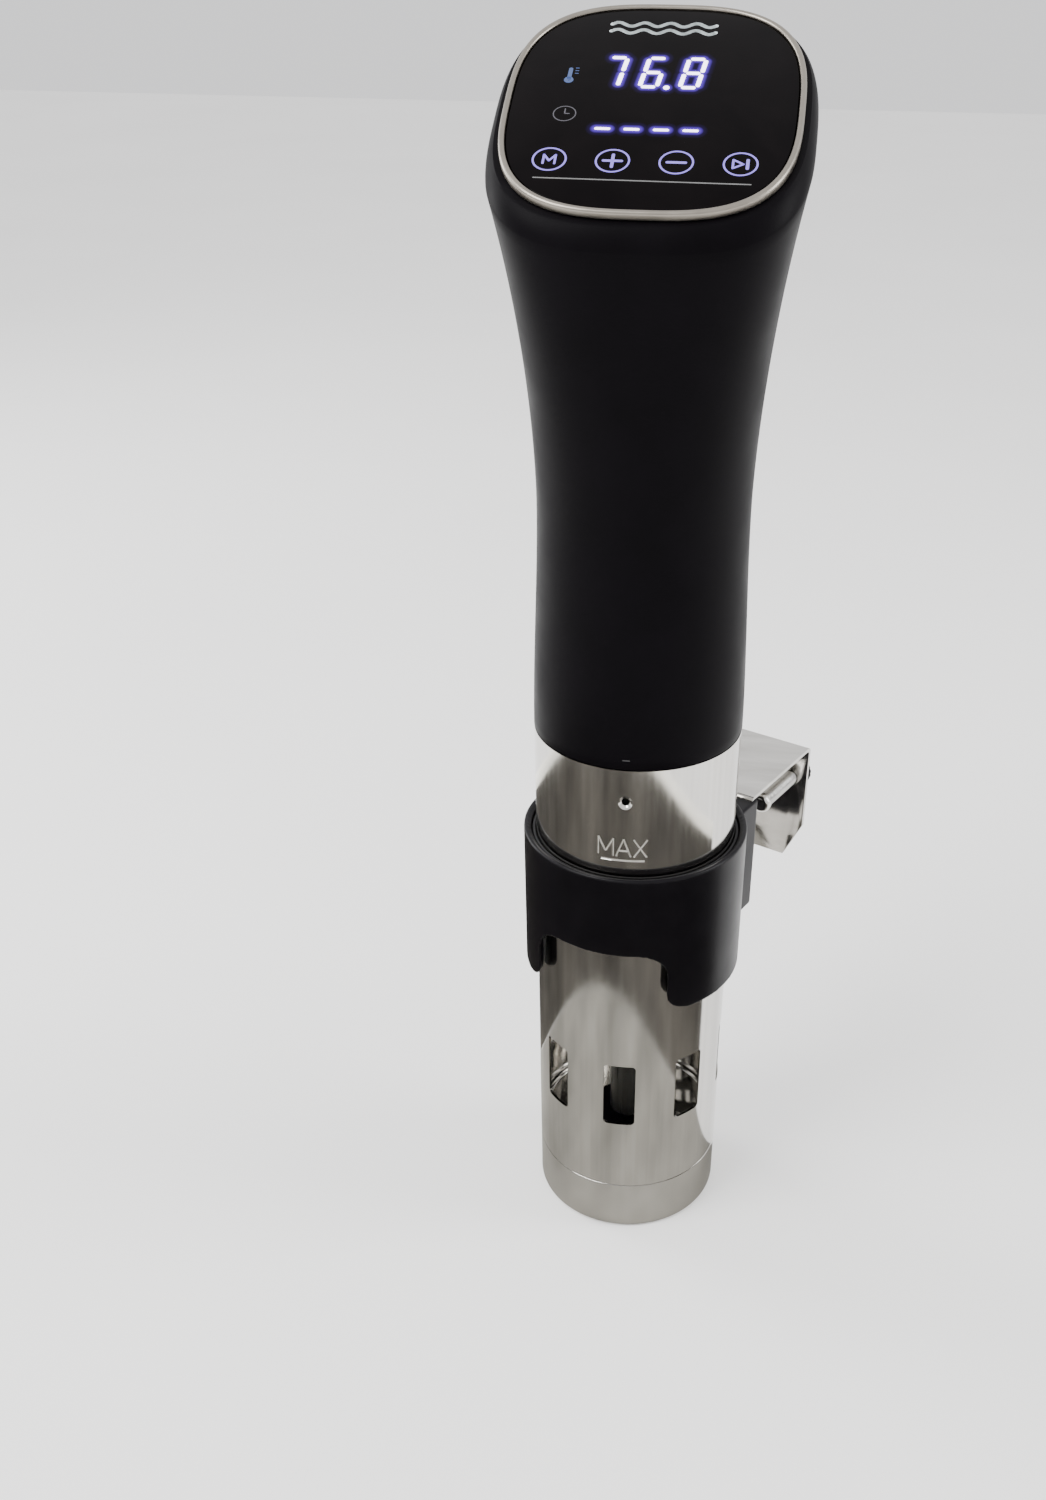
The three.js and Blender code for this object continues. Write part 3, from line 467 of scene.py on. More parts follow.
def head_level(rise, inset):
    width, depth = head_section(rise)
    opened = opening(rise)
    row = []
    for x, y in rounded_square(width - inset, depth - inset, 2 + (PANEL_POWER - 2) * opened):
        y -= PANEL_DROP * math.cos(TILT) * opened
        row.append((x, y, HEAD_BASE + rise + rise / HEAD_RISE * y * math.tan(TILT)))
    return row


def back_depth(height):
    depth = 0.0
    for _ in range(10):
        rise = height / (1 + depth * math.tan(TILT) / HEAD_RISE)
        depth = head_section(rise)[1] - PANEL_DROP * math.cos(TILT) * opening(rise)
    return depth


def build_head():
    side = HEAD_RISE - SHOULDER
    rises = [0.0, 0.15, 0.5] + [side * i / 46 for i in range(1, 46)]
    rises += [side + SHOULDER * i / 12 for i in range(13)]
    insets = [0.45, 0.13] + [0.0] * (len(rises) - 2)
    levels = [head_level(rise, inset) for rise, inset in zip(rises, insets)]
    levels += [head_level(HEAD_RISE * (1 - i / 24), HOUSING_WALL) for i in range(25)]
    shell = piece("head_housing", *grid(levels))
    inlet = Matrix.Translation((0, back_depth(INLET_RISE), HEAD_BASE + INLET_RISE)) @ ALONG_Y
    bore = INLET_RADIUS + GAP
    hole = lathe("hole", [(0, -30), (bore, -30), (bore, 5), (0, 5)], 48, inlet)
    slots = []
    for i in range(SLOT_COUNT):
        half, floor = SLOT_WIDTH / 2, HEAD_BASE + SLOT_FLOOR + i * SLOT_PITCH
        ends = [(-half, floor), (half, floor), (half, floor + SLOT_RISE), (-half, floor + SLOT_RISE)]
        slots.append(prism("slot", rounded(ends, 1.15), -60, -16, UPRIGHT))
    carve(shell, joined("openings", [hole, *slots]))
    smooth(shell, 32)
    finish(shell, "head", "black_plastic", "housing_shell")

    profile = rounded([
        (CORD_RADIUS, -9.5), (INLET_RADIUS, -9.5), (INLET_RADIUS, 1.5), (8.2, 1.5), (8.2, 3.1), (6.1, 7),
        (4.8, 16), (CORD_RADIUS, 16),
    ], [0, 0.3, 0, 0.5, 0.7, 0.8, 0.6, 0.4], 4)
    lengths = []
    for (r0, z0), (r1, z1) in zip(profile, profile[1:] + profile[:1]):
        steps = 14 if abs(z1 - z0) > 3 else 1
        lengths += [(r0 + (r1 - r0) * k / steps, z0 + (z1 - z0) * k / steps) for k in range(steps)]

    def ribs(radius, _, height):
        ribbed = 7.2 < height < 15.2 and radius > 4
        return -0.45 * (0.5 - 0.5 * math.cos(height * math.pi * 1.25)) if ribbed else 0

    finish(lathe("cord_entry_gland", lengths, 64, inlet, ribs), "head", "rubber", "cord_gland")

    # a raised dash at the foot of the head that lines up with the sleeve's water mark
    depth = head_section(4)[1]
    dash = [(-1.2, 3.2), (1.2, 3.2), (1.2, 3.6), (-1.2, 3.6)]
    mark = prism("line_up_dash", rounded(dash, 0.18), depth - 0.12, depth + 0.03,
                 Matrix.Translation((0, 0, HEAD_BASE)) @ UPRIGHT)
    finish(mark, "head", "black_plastic", look=print_ink("grey_print", (0.028, 0.027, 0.03)))


# ------------------------------------------------------------ panel


def capsule(start, end, radius, steps=6):
    """Outline of a rod with round ends, in the plane of the panel."""
    start, end = np.array(start, float), np.array(end, float)
    ahead = end - start
    base = math.atan2(ahead[1], ahead[0]) if np.linalg.norm(ahead) > 1e-9 else 0.0
    outline = []
    for centre, first in ((end, base - math.pi / 2), (start, base + math.pi / 2)):
        for k in range(steps + 1):
            angle = first + math.pi * k / steps
            outline.append(tuple(centre + radius * np.array((math.cos(angle), math.sin(angle)))))
    return outline


def circle_band(centre, inner, outer, facets=56):
    quads = []
    for i in range(facets):
        a, b = 2 * math.pi * i / facets, 2 * math.pi * (i + 1) / facets
        corners = [(inner, a), (outer, a), (outer, b), (inner, b)]
        quads.append([(centre[0] + r * math.cos(t), centre[1] + r * math.sin(t)) for r, t in corners])
    return quads


SEGMENTS = {
    "7": "abc", "6": "acdefg", "8": "abcdefg",
}
DIGIT_HALF, DIGIT_RISE, DIGIT_LEAN, STROKE = 2.25, 5.9, 0.13, 0.58
DIGIT_HEIGHT = 11.2
DIGITS = (("7", -11.7), ("6", -1.4), ("8", 9.1))
POINT = (2.6, 5.1)
DASHES = (-12.1, -4.6, 2.95, 10.5)
DASH_HEIGHT, DASH_HALF, DASH_STROKE = -11.8, 1.6, 0.45


def digit_strokes(shape, middle):
    a, b = DIGIT_HALF, DIGIT_RISE
    ends = {
        "a": ((-a, b), (a, b)), "b": ((a, b), (a, 0)), "c": ((a, 0), (a, -b)), "d": ((-a, -b), (a, -b)),
        "e": ((-a, 0), (-a, -b)), "f": ((-a, b), (-a, 0)), "g": ((-a, 0), (a, 0)),
    }
    strokes = []
    for letter in SEGMENTS[shape]:
        (x0, y0), (x1, y1) = ends[letter]
        start, end = np.array((x0, y0), float), np.array((x1, y1), float)
        ahead = (end - start) / np.linalg.norm(end - start)
        start, end = start + ahead * 0.95, end - ahead * 0.95
        strokes.append([(middle + x + DIGIT_LEAN * y, DIGIT_HEIGHT + y) for x, y in (start, end)])
    return strokes


def lit_strokes():
    strokes = [(s, STROKE) for shape, middle in DIGITS for s in digit_strokes(shape, middle)]
    strokes.append(([POINT, (POINT[0] + 0.05, POINT[1])], 0.8))
    for u in DASHES:
        ends = [(u - DASH_HALF, DASH_HEIGHT), (u + DASH_HALF, DASH_HEIGHT)]
        strokes.append((ends, DASH_STROKE))
    return strokes


def legend(name, outlines, look, lift=0.03):
    """Thin shapes lying on the glass, from outlines in the plane of the panel."""
    points, faces = [], []
    for outline in outlines:
        start, count = len(points), len(outline)
        points += [(x, y, GLASS_TOP - 0.02) for x, y in outline]
        points += [(x, y, GLASS_TOP + lift) for x, y in outline]
        faces.append(tuple(start + count + i for i in range(count)))
        faces += [(start + i, start + (i + 1) % count, start + count + (i + 1) % count, start + count + i)
                  for i in range(count)]
    finish(piece(name, points, faces, PANEL), "head", "display_glass", look=look)


def glass_look():
    """Black glass with the violet haze that the lit digits make in it."""
    made, nodes, links, shader = material("display_glass")
    shader.inputs["Specular IOR Level"].default_value = 0.03
    smudge = noise(nodes, links, 70, detail=5.0, distortion=0.6)
    links.new(ramp(nodes, links, smudge, [(0.35, 0.035), (0.75, 0.1)]), shader.inputs["Roughness"])
    stops = [(0.3, (0.0014, 0.0009, 0.0012)), (0.7, (0.0028, 0.0019, 0.0022))]
    links.new(ramp(nodes, links, smudge, stops), shader.inputs["Base Color"])
    place = nodes.new("ShaderNodeTexCoord")

    def vector(operation, *values):
        node = nodes.new("ShaderNodeVectorMath")
        node.operation = operation
        for socket, value in zip(node.inputs, values):
            if isinstance(value, tuple):
                socket.default_value = value
            else:
                links.new(value, socket)
        return node

    def number(operation, *values, clamp=False):
        node = nodes.new("ShaderNodeMath")
        node.operation = operation
        node.use_clamp = clamp
        for socket, value in zip(node.inputs, values):
            if isinstance(value, (int, float)):
                socket.default_value = value
            else:
                links.new(value, socket)
        return node.outputs["Value"]

    offset = vector("SUBTRACT", place.outputs["Object"], (0, 0, PANEL_HEIGHT * MM))
    across = vector("DOT_PRODUCT", offset.outputs["Vector"], (1 / MM, 0, 0))
    up_slope = (0, math.cos(TILT) / MM, math.sin(TILT) / MM)
    upward = vector("DOT_PRODUCT", offset.outputs["Vector"], up_slope)
    flat = nodes.new("ShaderNodeCombineXYZ")
    links.new(across.outputs["Value"], flat.inputs["X"])
    links.new(upward.outputs["Value"], flat.inputs["Y"])
    nearest = None
    for (start, end), _ in lit_strokes():
        start, end = Vector((*start, 0)), Vector((*end, 0))
        ahead = end - start
        along = vector("SUBTRACT", flat.outputs["Vector"], tuple(start))
        share = vector("DOT_PRODUCT", along.outputs["Vector"], tuple(ahead / ahead.length_squared))
        clamped = number("ADD", share.outputs["Value"], 0.0, clamp=True)
        step = vector("SCALE", tuple(ahead))
        links.new(clamped, step.inputs["Scale"])
        away = vector("SUBTRACT", along.outputs["Vector"], step.outputs["Vector"])
        distance = vector("LENGTH", away.outputs["Vector"]).outputs["Value"]
        nearest = distance if nearest is None else number("MINIMUM", nearest, distance)
    glow = number("SUBTRACT", 1.0, number("DIVIDE", nearest, 2.9), clamp=True)
    haze = ramp(nodes, links, glow, [(0.0, (0.0, 0.0, 0.0)), (0.4, (0.012, 0.005, 0.055)),
                                     (0.78, (0.2, 0.085, 1.0))])
    links.new(haze, shader.inputs["Emission Color"])
    shader.inputs["Emission Strength"].default_value = 1.0
    return made


def panel_rows(profile):
    """The panel's rounded square at each (half-width, height) of a profile."""
    return [[(x, y - PANEL_DROP, height) for x, y in
             rounded_square(radius, radius + PANEL_STRETCH, PANEL_POWER, 240)] for radius, height in profile]


def build_panel():
    ring = rounded([
        (BEZEL_BORE, GAP), (BEZEL_RADIUS, GAP), (BEZEL_RADIUS, RING_TOP), (BEZEL_BORE, RING_TOP),
    ], [0, 0.2, 0.75, 0.6], 8)
    ring = smooth(piece("display_ring", *grid(panel_rows(ring)), PANEL))
    finish(ring, "head", "satin_silver", "display_bezel")
    reach = BEZEL_BORE - GAP
    edge = [(0, GLASS_FLOOR), (reach, GLASS_FLOOR), (reach, GLASS_TOP), (0, GLASS_TOP)]
    edge = rounded(edge, [0, 0.1, 0.35, 0], 5)
    rows = panel_rows(edge[1:-1])
    points, faces = grid(rows, around_rows=False)
    count, last = len(rows[0]), (len(rows) - 1) * len(rows[0])
    faces += [tuple(range(count - 1, -1, -1)), tuple(range(last, last + count))]
    window = smooth(piece("display_window", points, faces, PANEL))
    finish(window, "head", "display_glass", "display_glass", look=glass_look())

    white = light("lit_digits", (0.86, 0.76, 1.0), 5.0, (0.6, 0.58, 0.65))
    lavender = light("lit_buttons", (0.27, 0.19, 0.95), 1.35, (0.1, 0.08, 0.2))
    blue = light("lit_thermometer", (0.03, 0.09, 0.36), 0.6, (0.03, 0.05, 0.12))
    dim = print_ink("dim_icon", (0.055, 0.052, 0.065))
    silver = print_ink("silver_print", (0.5, 0.56, 0.57))
    grey = print_ink("grey_line", (0.13, 0.13, 0.13))

    legend("digits", [capsule(*ends, radius) for ends, radius in lit_strokes()], white, 0.04)

    middles = [((i - 1.5) * BUTTON_PITCH, -BUTTON_DROP) for i in range(4)]
    rings = [quad for middle in middles for quad in circle_band(middle, 3.95, 4.45)]
    (mode, plus, minus, start) = middles

    def about(middle, *ends):
        return [(middle[0] + x, middle[1] + y) for x, y in ends]

    w, h, thin, bold = 1.5, 1.65, 0.3, 0.42
    strokes = [
        about(mode, (-w, -h), (-w, h)), about(mode, (-w, h), (0, -0.6)), about(mode, (0, -0.6), (w, h)),
        about(mode, (w, h), (w, -h)), about(plus, (-2.3, 0), (2.3, 0)), about(plus, (0, -2.3), (0, 2.3)),
        about(minus, (-2.3, 0), (2.3, 0)), about(start, (-1.9, 1.6), (-1.9, -1.6)),
        about(start, (-1.9, 1.6), (0.7, 0)), about(start, (-1.9, -1.6), (0.7, 0)),
        about(start, (1.75, 1.6), (1.75, -1.6)),
    ]
    wide = {4, 5, 6, 10}
    marks = [capsule(*ends, bold if i in wide else thin) for i, ends in enumerate(strokes)]
    legend("button_legends", rings + marks, lavender)

    bulb = (-23.3, 7.5)
    stem = capsule(bulb, (-23.2, 12.0), 0.55)
    ticks = [capsule((-21.9, v), (-21.1, v), 0.12) for v in (10.2, 11.3, 12.4)]
    legend("thermometer_icon", [capsule(bulb, (bulb[0], bulb[1] + 0.01), 1.25, 12), stem, *ticks], blue)

    clock = (-22.6, -6.2)
    hands = [capsule(clock, end, 0.16) for end in about(clock, (0, 1.9), (1.2, 0))]
    legend("clock_icon", circle_band(clock, 2.75, 3.05) + hands, dim, 0.02)

    legend("button_line", [capsule((-27.3, -31.2), (27.2, -31.6), 0.2)], grey, 0.02)

    waves = []
    for row in range(2):
        line = [(-14.5 + 0.5 * i, 28.4 + 3.0 * row + 0.8 * math.sin(i * math.pi / 7)) for i in range(57)]
        waves += [capsule(a, b, 0.55) for a, b in zip(line, line[1:])]
    legend("wave_icon", waves, silver, 0.02)


# ------------------------------------------------------------ sleeve and foot


def around_axis(angle):
    return Matrix.Rotation(math.radians(angle), 4, "Z")


def band(inner, outer, arc):
    """Outline of a piece of a ring, over the angles of an arc."""
    outline = [(outer * math.cos(a), outer * math.sin(a)) for a in arc]
    return outline + [(inner * math.cos(a), inner * math.sin(a)) for a in reversed(arc)]


def build_sleeve():
    facets = 360
    tube = [(SLEEVE_BORE, FOOT_RISE + GAP), (SLEEVE_RADIUS, FOOT_RISE + GAP),
            (SLEEVE_RADIUS, HEAD_BASE - GAP), (SLEEVE_BORE, HEAD_BASE - GAP)]
    sleeve = lathe("sleeve_tube", tube, facets)
    tools = []
    half, low, high = WINDOW_WIDTH / 2, WINDOW_HEIGHT - WINDOW_RISE / 2, WINDOW_HEIGHT + WINDOW_RISE / 2
    opening = rounded([(-half, low), (half, low), (half, high), (-half, high)], 1.6, 5)
    for i in range(WINDOW_COUNT):
        place = around_axis(i * 360 / WINDOW_COUNT + 180) @ UPRIGHT
        tools.append(prism("window", opening, 28, 37, place))
    dish = [(0, -4), (VENT_BORE, -4), (VENT_BORE, -0.75), (1.75, -0.35), (VENT_RADIUS, 0.0), (2.7, 0.4),
            (0, 0.4)]
    for i in range(VENT_COUNT):
        place = Matrix.Translation((0, SLEEVE_RADIUS, VENT_HEIGHT)) @ ALONG_Y
        place = around_axis(i * 360 / VENT_COUNT) @ place
        tools.append(lathe("vent", dish, 40, place))
    carve(sleeve, joined("sleeve_openings", tools))

    # the highest water mark, pressed into the front
    left, floor, size = -8.6, 168.4, 6.6
    letters = {
        0: [((0, 0), (0, 1)), ((0, 1), (0.38, 0.25)), ((0.38, 0.25), (0.76, 1)), ((0.76, 1), (0.76, 0))],
        5.9: [((0, 0), (0.37, 1)), ((0.37, 1), (0.74, 0)), ((0.14, 0.34), (0.6, 0.34))],
        11.6: [((0, 0), (0.66, 1)), ((0, 1), (0.66, 0))],
    }
    strokes = [[(left + shift + size * x, floor + size * y) for x, y in ends]
               for shift, lines in letters.items() for ends in lines]
    strokes.append([(left + 0.9, floor - 1.4), (left + 15.2, floor - 1.4)])
    etched = []
    for start, end in strokes:
        path = []
        for k in range(9):
            across = start[0] + (end[0] - start[0]) * k / 8
            height = start[1] + (end[1] - start[1]) * k / 8
            angle = -math.pi / 2 + across / SLEEVE_RADIUS
            reach = SLEEVE_RADIUS + 0.12
            path.append((reach * math.cos(angle), reach * math.sin(angle), height))
        inlay = [(x * 0.9932, y * 0.9932, z) for x, y, z in path]
        carve(sleeve, sweep("stroke", path, 0.46, 10))
        etched.append(sweep("etched_stroke", inlay, 0.13, 10))
    mark = joined("water_mark", etched)
    finish(smooth(mark), "sleeve", "polished_steel", look=print_ink("etched_steel", (0.46, 0.445, 0.4)))

    pins = []
    end = SLEEVE_BORE + 0.3
    shape = [(0, PIN_TIP), (PIN_RADIUS - 0.2, PIN_TIP), (PIN_RADIUS, PIN_TIP + 0.2),
             (PIN_RADIUS, end), (0, end)]
    for height in (HEAD_PIN_HEIGHT, FOOT_PIN_HEIGHT):
        for i in range(LOCK_COUNT):
            place = around_axis(i * 360 / LOCK_COUNT) @ Matrix.Translation((0, 0, height)) @ ALONG_Y
            pins.append(lathe("pin", shape, 24, place))
    carve(sleeve, joined("lock_pins", pins), operation="UNION")
    true_round(sleeve, SLEEVE_RADIUS)
    finish(sleeve, "sleeve", "polished_steel", "steel_sleeve", look=sleeve_look())

    top = FOOT_RISE + FOOT_NECK
    bore = SLEEVE_RADIUS - FOOT_WALL
    cup = rounded([
        (0, 0), (SLEEVE_RADIUS, 0), (SLEEVE_RADIUS, FOOT_RISE), (NECK_RADIUS, FOOT_RISE),
        (NECK_RADIUS, top), (bore, top), (bore, FOOT_PLATE), (0, FOOT_PLATE),
    ], [0, 2.2, 0.25, 0, 0.4, 0.4, 1.0, 0], 8)
    foot = lathe("foot_cup", cup, 288)
    outlets = []
    for i in range(OUTLET_COUNT):
        middle = 2 * math.pi * (i + 0.5) / OUTLET_COUNT
        arc = [middle + OUTLET_HALF * (k / 6 - 1) for k in range(13)]
        outlets.append(prism("outlet", band(OUTLET_INNER, OUTLET_OUTER, arc), -1, 4))
    carve(foot, joined("outlets", outlets))
    room = PIN_RADIUS + GAP
    reach, floor = room / SLEEVE_BORE, FOOT_PIN_HEIGHT - room
    grooves = []
    for i in range(LOCK_COUNT):
        start = math.pi / 2 + 2 * math.pi * i / LOCK_COUNT
        end = start - LOCK_TWIST
        for a0, a1, roof in (
            (end - reach, start + reach, FOOT_PIN_HEIGHT + room), (end - reach, end + reach, top + 1),
        ):
            arc = [a0 + (a1 - a0) * k / 8 for k in range(9)]
            grooves.append(prism("groove", band(PIN_TIP - GAP, SLEEVE_RADIUS, arc), floor, roof))
    carve(foot, *grooves)
    smooth(foot, 28)
    finish(foot, "foot", "polished_steel", "foot_cap")


def sleeve_look():
    """Polished tube steel: a clean mirror with faint upright drawing lines and water marks."""
    made, nodes, links, shader = material("sleeve_steel")
    shader.inputs["Metallic"].default_value = 1.0
    lines = noise(nodes, links, 520, (1, 1, 0.012), 3.0)
    marks = noise(nodes, links, 45, (1, 1, 0.35), 5.0, 0.8)
    both = nodes.new("ShaderNodeMix")
    both.inputs["Factor"].default_value = 0.5
    links.new(lines, both.inputs["A"])
    links.new(marks, both.inputs["B"])
    mixed = both.outputs["Result"]
    stops = [(0.35, (0.57, 0.555, 0.525)), (0.65, (0.69, 0.675, 0.645))]
    links.new(ramp(nodes, links, mixed, stops), shader.inputs["Base Color"])
    links.new(ramp(nodes, links, mixed, [(0.35, 0.075), (0.7, 0.16)]), shader.inputs["Roughness"])
    bump(nodes, links, shader, lines, 0.35, 0.0012)
    return made


# ------------------------------------------------------------ clamp


def build_collar():
    half, top = ARCH_WIDTH / 2, COLLAR_FLOOR + ARCH_RISE
    floor, roof, skin = top + 1, COLLAR_TOP - 1.5, SLEEVE_RADIUS + GAP
    liner = rounded([(skin, floor), (LINER_RADIUS, floor), (LINER_RADIUS, roof), (skin, roof)],
                    [0.2, 0.2, 0.4, 0.3], 3)
    finish(lathe("collar_lining", liner, 144), "slider", "rubber", "collar_liner")

    wall = rounded([
        (COLLAR_BORE, COLLAR_FLOOR), (COLLAR_RADIUS, COLLAR_FLOOR), (COLLAR_RADIUS, COLLAR_TOP),
        (COLLAR_RADIUS - 1.5, COLLAR_TOP), (COLLAR_RADIUS - 1.5, COLLAR_TOP - 0.7),
        (COLLAR_BORE, COLLAR_TOP - 0.7),
    ], [0, 0, 0.5, 0, 0, 0.3], 3)
    collar = lathe("clamp_ring", wall, 192)
    jaw = block("jaw", (-JAW_WIDTH / 2, SLEEVE_RADIUS / 2, COLLAR_FLOOR + JAW_RAISE),
                (JAW_WIDTH / 2, JAW_REACH, JAW_TOP))
    bevelled(jaw, 0.7, 3)
    carve(jaw, lathe("hollow", [(0, 90), (COLLAR_BORE, 90), (COLLAR_BORE, 180), (0, 180)], 192))
    carve(collar, jaw, operation="UNION")
    outer, foot = half + 2.2 * ARCH_FOOT, COLLAR_FLOOR - 0.02
    arch = rounded([
        (-outer, 90), (outer, 90), (outer, foot), (half, foot), (half, top), (-half, top),
        (-half, foot), (-outer, foot),
    ], [0, 0, 0, ARCH_FOOT, ARCH_CORNER, ARCH_CORNER, ARCH_FOOT, 0], 10)
    window = prism("arch", arch, 0, 45, around_axis(ARCH_TURN) @ UPRIGHT)
    room = TONGUE_WIDTH / 2 + GAP
    slit = block("slit", (-room, TONGUE_INNER - GAP, CLAMP_TOP - TONGUE_DROP - GAP),
                 (room, TONGUE_OUTER + GAP, COLLAR_TOP + 3.3))
    bore, seat, counterbore = FIXING_RADIUS + GAP, FIXING_SEAT - GAP, FIXING_RADIUS + 1.6 + GAP
    deep, out = SLEEVE_RADIUS, JAW_REACH + 1
    step = [(0, deep), (bore, deep), (bore, seat), (counterbore, seat), (counterbore, out), (0, out)]
    bores = []
    for side in (-1, 1):
        place = Matrix.Translation((side * FIXING_SPREAD, 0, FIXING_HEIGHT)) @ ALONG_Y
        bores.append(lathe("bore", step, 32, place))
    carve(collar, window, slit, *bores)
    softened(collar, 0.42, 5)
    collar.data.transform(CLAMP)
    finish(collar, "clamp", "black_plastic", "clamp_collar", look=finishes["collar"])


def build_bracket():
    inner, outer = TONGUE_INNER, BRACKET_REACH
    floor, tongue = CLAMP_TOP - BRACKET_DROP, CLAMP_TOP - TONGUE_DROP
    outline = rounded([
        (inner, tongue), (inner, CLAMP_TOP), (outer, CLAMP_TOP), (outer, floor), (outer - SHEET, floor),
        (outer - SHEET, CLAMP_TOP - SHEET), (inner + SHEET, CLAMP_TOP - SHEET), (inner + SHEET, tongue),
    ], [0, BEND, BEND, 0, 0, BEND - SHEET + 0.3, BEND - SHEET + 0.3, 0], 10)
    half = BRACKET_WIDTH / 2
    lay = Matrix(((0, 0, 1, 0), (1, 0, 0, 0), (0, 1, 0, 0), (0, 0, 0, 1)))
    plate = prism("clamp_plate", outline, -half, half, lay)
    tools = []
    for side in (-1, 1):
        corner = [(side * (half + 1), floor + CHAMFER_RISE * (CHAMFER_ACROSS + 1) / CHAMFER_ACROSS),
                  (side * (half + 1), floor - 1)]
        corner.append((side * (half + 1) - side * (CHAMFER_ACROSS + 1) * 1.07, floor - 1))
        tools.append(prism("corner", corner, -outer - 1, 2 * SHEET - outer, UPRIGHT))
        low, high = sorted((side * TONGUE_WIDTH / 2, side * (half + 1)))
        tools.append(block("shoulder", (low, inner - 1, tongue - 1),
                           (high, JAW_REACH + 0.6, CLAMP_TOP - SHEET - GAP)))
        for spread, height, radius, low, high, facets in (
            (SCREW_SPREAD, SCREW_HEIGHT, SCREW_RADIUS, outer - 4, outer + 4, 48),
            (FIXING_SPREAD, FIXING_HEIGHT, FIXING_RADIUS, inner - 1, inner + 3, 32),
        ):
            place = Matrix.Translation((side * spread, 0, height)) @ ALONG_Y
            shape = [(0, low), (radius + GAP, low), (radius + GAP, high), (0, high)]
            tools.append(lathe("hole", shape, facets, place))
    carve(plate, *tools)
    bevelled(plate, 0.18, 2, 50)
    smooth(plate, 30)
    plate.data.transform(CLAMP)
    finish(plate, "clamp", "polished_steel", "clamp_bracket", look=plate_look())

    for side, name in ((-1, "left"), (1, "right")):
        place = CLAMP @ Matrix.Translation((side * FIXING_SPREAD, 0, FIXING_HEIGHT)) @ ALONG_Y
        head, bore = FIXING_RADIUS + 1.6, FIXING_RADIUS
        shape = rounded([
            (0, inner - 2), (bore, inner - 2), (bore, FIXING_SEAT), (head, FIXING_SEAT),
            (head, JAW_REACH - GAP), (1.2, JAW_REACH - GAP), (1.2, JAW_REACH - 0.9), (0, JAW_REACH - 0.9),
        ], [0, 0.3, 0, 0.1, 0.25, 0, 0, 0], 3)
        finish(lathe(f"bracket_fixing_{name}", shape, 40, place), "clamp", "brushed_steel",
               f"bracket_screw_{name}")


def plate_look():
    """Mirror-polished sheet with the faint ripple of a pressed and buffed part."""
    made, nodes, links, shader = material("clamp_sheet_steel")
    shader.inputs["Metallic"].default_value = 1.0
    buffed = noise(nodes, links, 130, (0.25, 1.0, 1.0), 4.0, 0.4)
    stops = [(0.3, (0.5, 0.485, 0.46)), (0.7, (0.64, 0.625, 0.595))]
    links.new(ramp(nodes, links, buffed, stops), shader.inputs["Base Color"])
    links.new(ramp(nodes, links, buffed, [(0.3, 0.07), (0.75, 0.19)]), shader.inputs["Roughness"])
    bump(nodes, links, shader, noise(nodes, links, 42, detail=1.0), 0.3, 0.02)
    return made


def build_screws():
    inside = BRACKET_REACH - SHEET
    tip, end = inside - SCREW_REACH, BRACKET_REACH + GAP + KNOB_LENGTH - 1.5
    for side, name in ((-1, "left"), (1, "right")):
        place = CLAMP @ Matrix.Translation((side * SCREW_SPREAD, 0, SCREW_HEIGHT)) @ ALONG_Y
        facets, steps = 30, 232
        heights = [tip + (end - tip) * k / steps for k in range(steps + 1)]
        rows = [[(0, 0, tip)] * facets]
        for height in heights:
            row = []
            for j in range(facets):
                angle = 2 * math.pi * j / facets
                turn = (height / THREAD_PITCH + j / facets) % 1
                depth = THREAD_DEPTH * (1 - abs(2 * turn - 1)) ** 0.8
                ends = min(1.0, (height - tip) / 0.8, (end - height) / 0.8)
                radius = (SCREW_RADIUS - depth) * (0.82 + 0.18 * ends)
                row.append((radius * math.cos(angle), radius * math.sin(angle), height))
            rows.append(row)
        rows.append([(0, 0, end)] * facets)
        rod = smooth(piece(f"clamp_bolt_{name}", *grid(rows, around_rows=False), place), 60)
        finish(rod, f"{name}_screw", "brushed_steel", f"clamp_screw_{name}", look=finishes["bolt"])

        floor = tip - GAP - CUP_LENGTH
        roof = floor + CUP_LENGTH
        shape = [(0, floor), (CUP_RADIUS, floor), (CUP_RADIUS, roof), (0, roof)]
        shape = rounded(shape, [0, 1.5, 1.2, 0], 8)
        finish(lathe(f"clamp_pad_{name}", shape, 64, place), f"{name}_foot", "polished_steel",
               f"clamp_foot_{name}", look=finishes["pad"])

        start = BRACKET_REACH + GAP
        bore, roof = SCREW_RADIUS + GAP, start + KNOB_LENGTH
        shape = [(bore, start), (KNOB_RADIUS, start), (KNOB_RADIUS, roof), (bore, roof)]
        shape = rounded(shape, [0.3, 0.7, 1.0, 0.4], 6)

        def flutes(radius, angle, _):
            return -0.3 * max(0.0, math.cos(angle * 18)) if radius > 4.6 else 0

        finish(lathe(f"clamp_grip_{name}", shape, 144, place, flutes), f"{name}_screw", "black_plastic",
               f"clamp_knob_{name}")


finishes["collar"] = surface("collar_plastic", (0.0024, 0.0019, 0.003), 0.33, spread=0.2, grain=2600,
                             grain_depth=0.012, specular=0.13)
finishes["bolt"] = surface("bolt_steel", (0.5, 0.49, 0.47), 0.2, 1.0, scale=500, grain_depth=0.003)
finishes["pad"] = surface("pad_steel", (0.66, 0.65, 0.62), 0.12, 1.0, scale=300, grain_depth=0.0015)


# ------------------------------------------------------------ heater


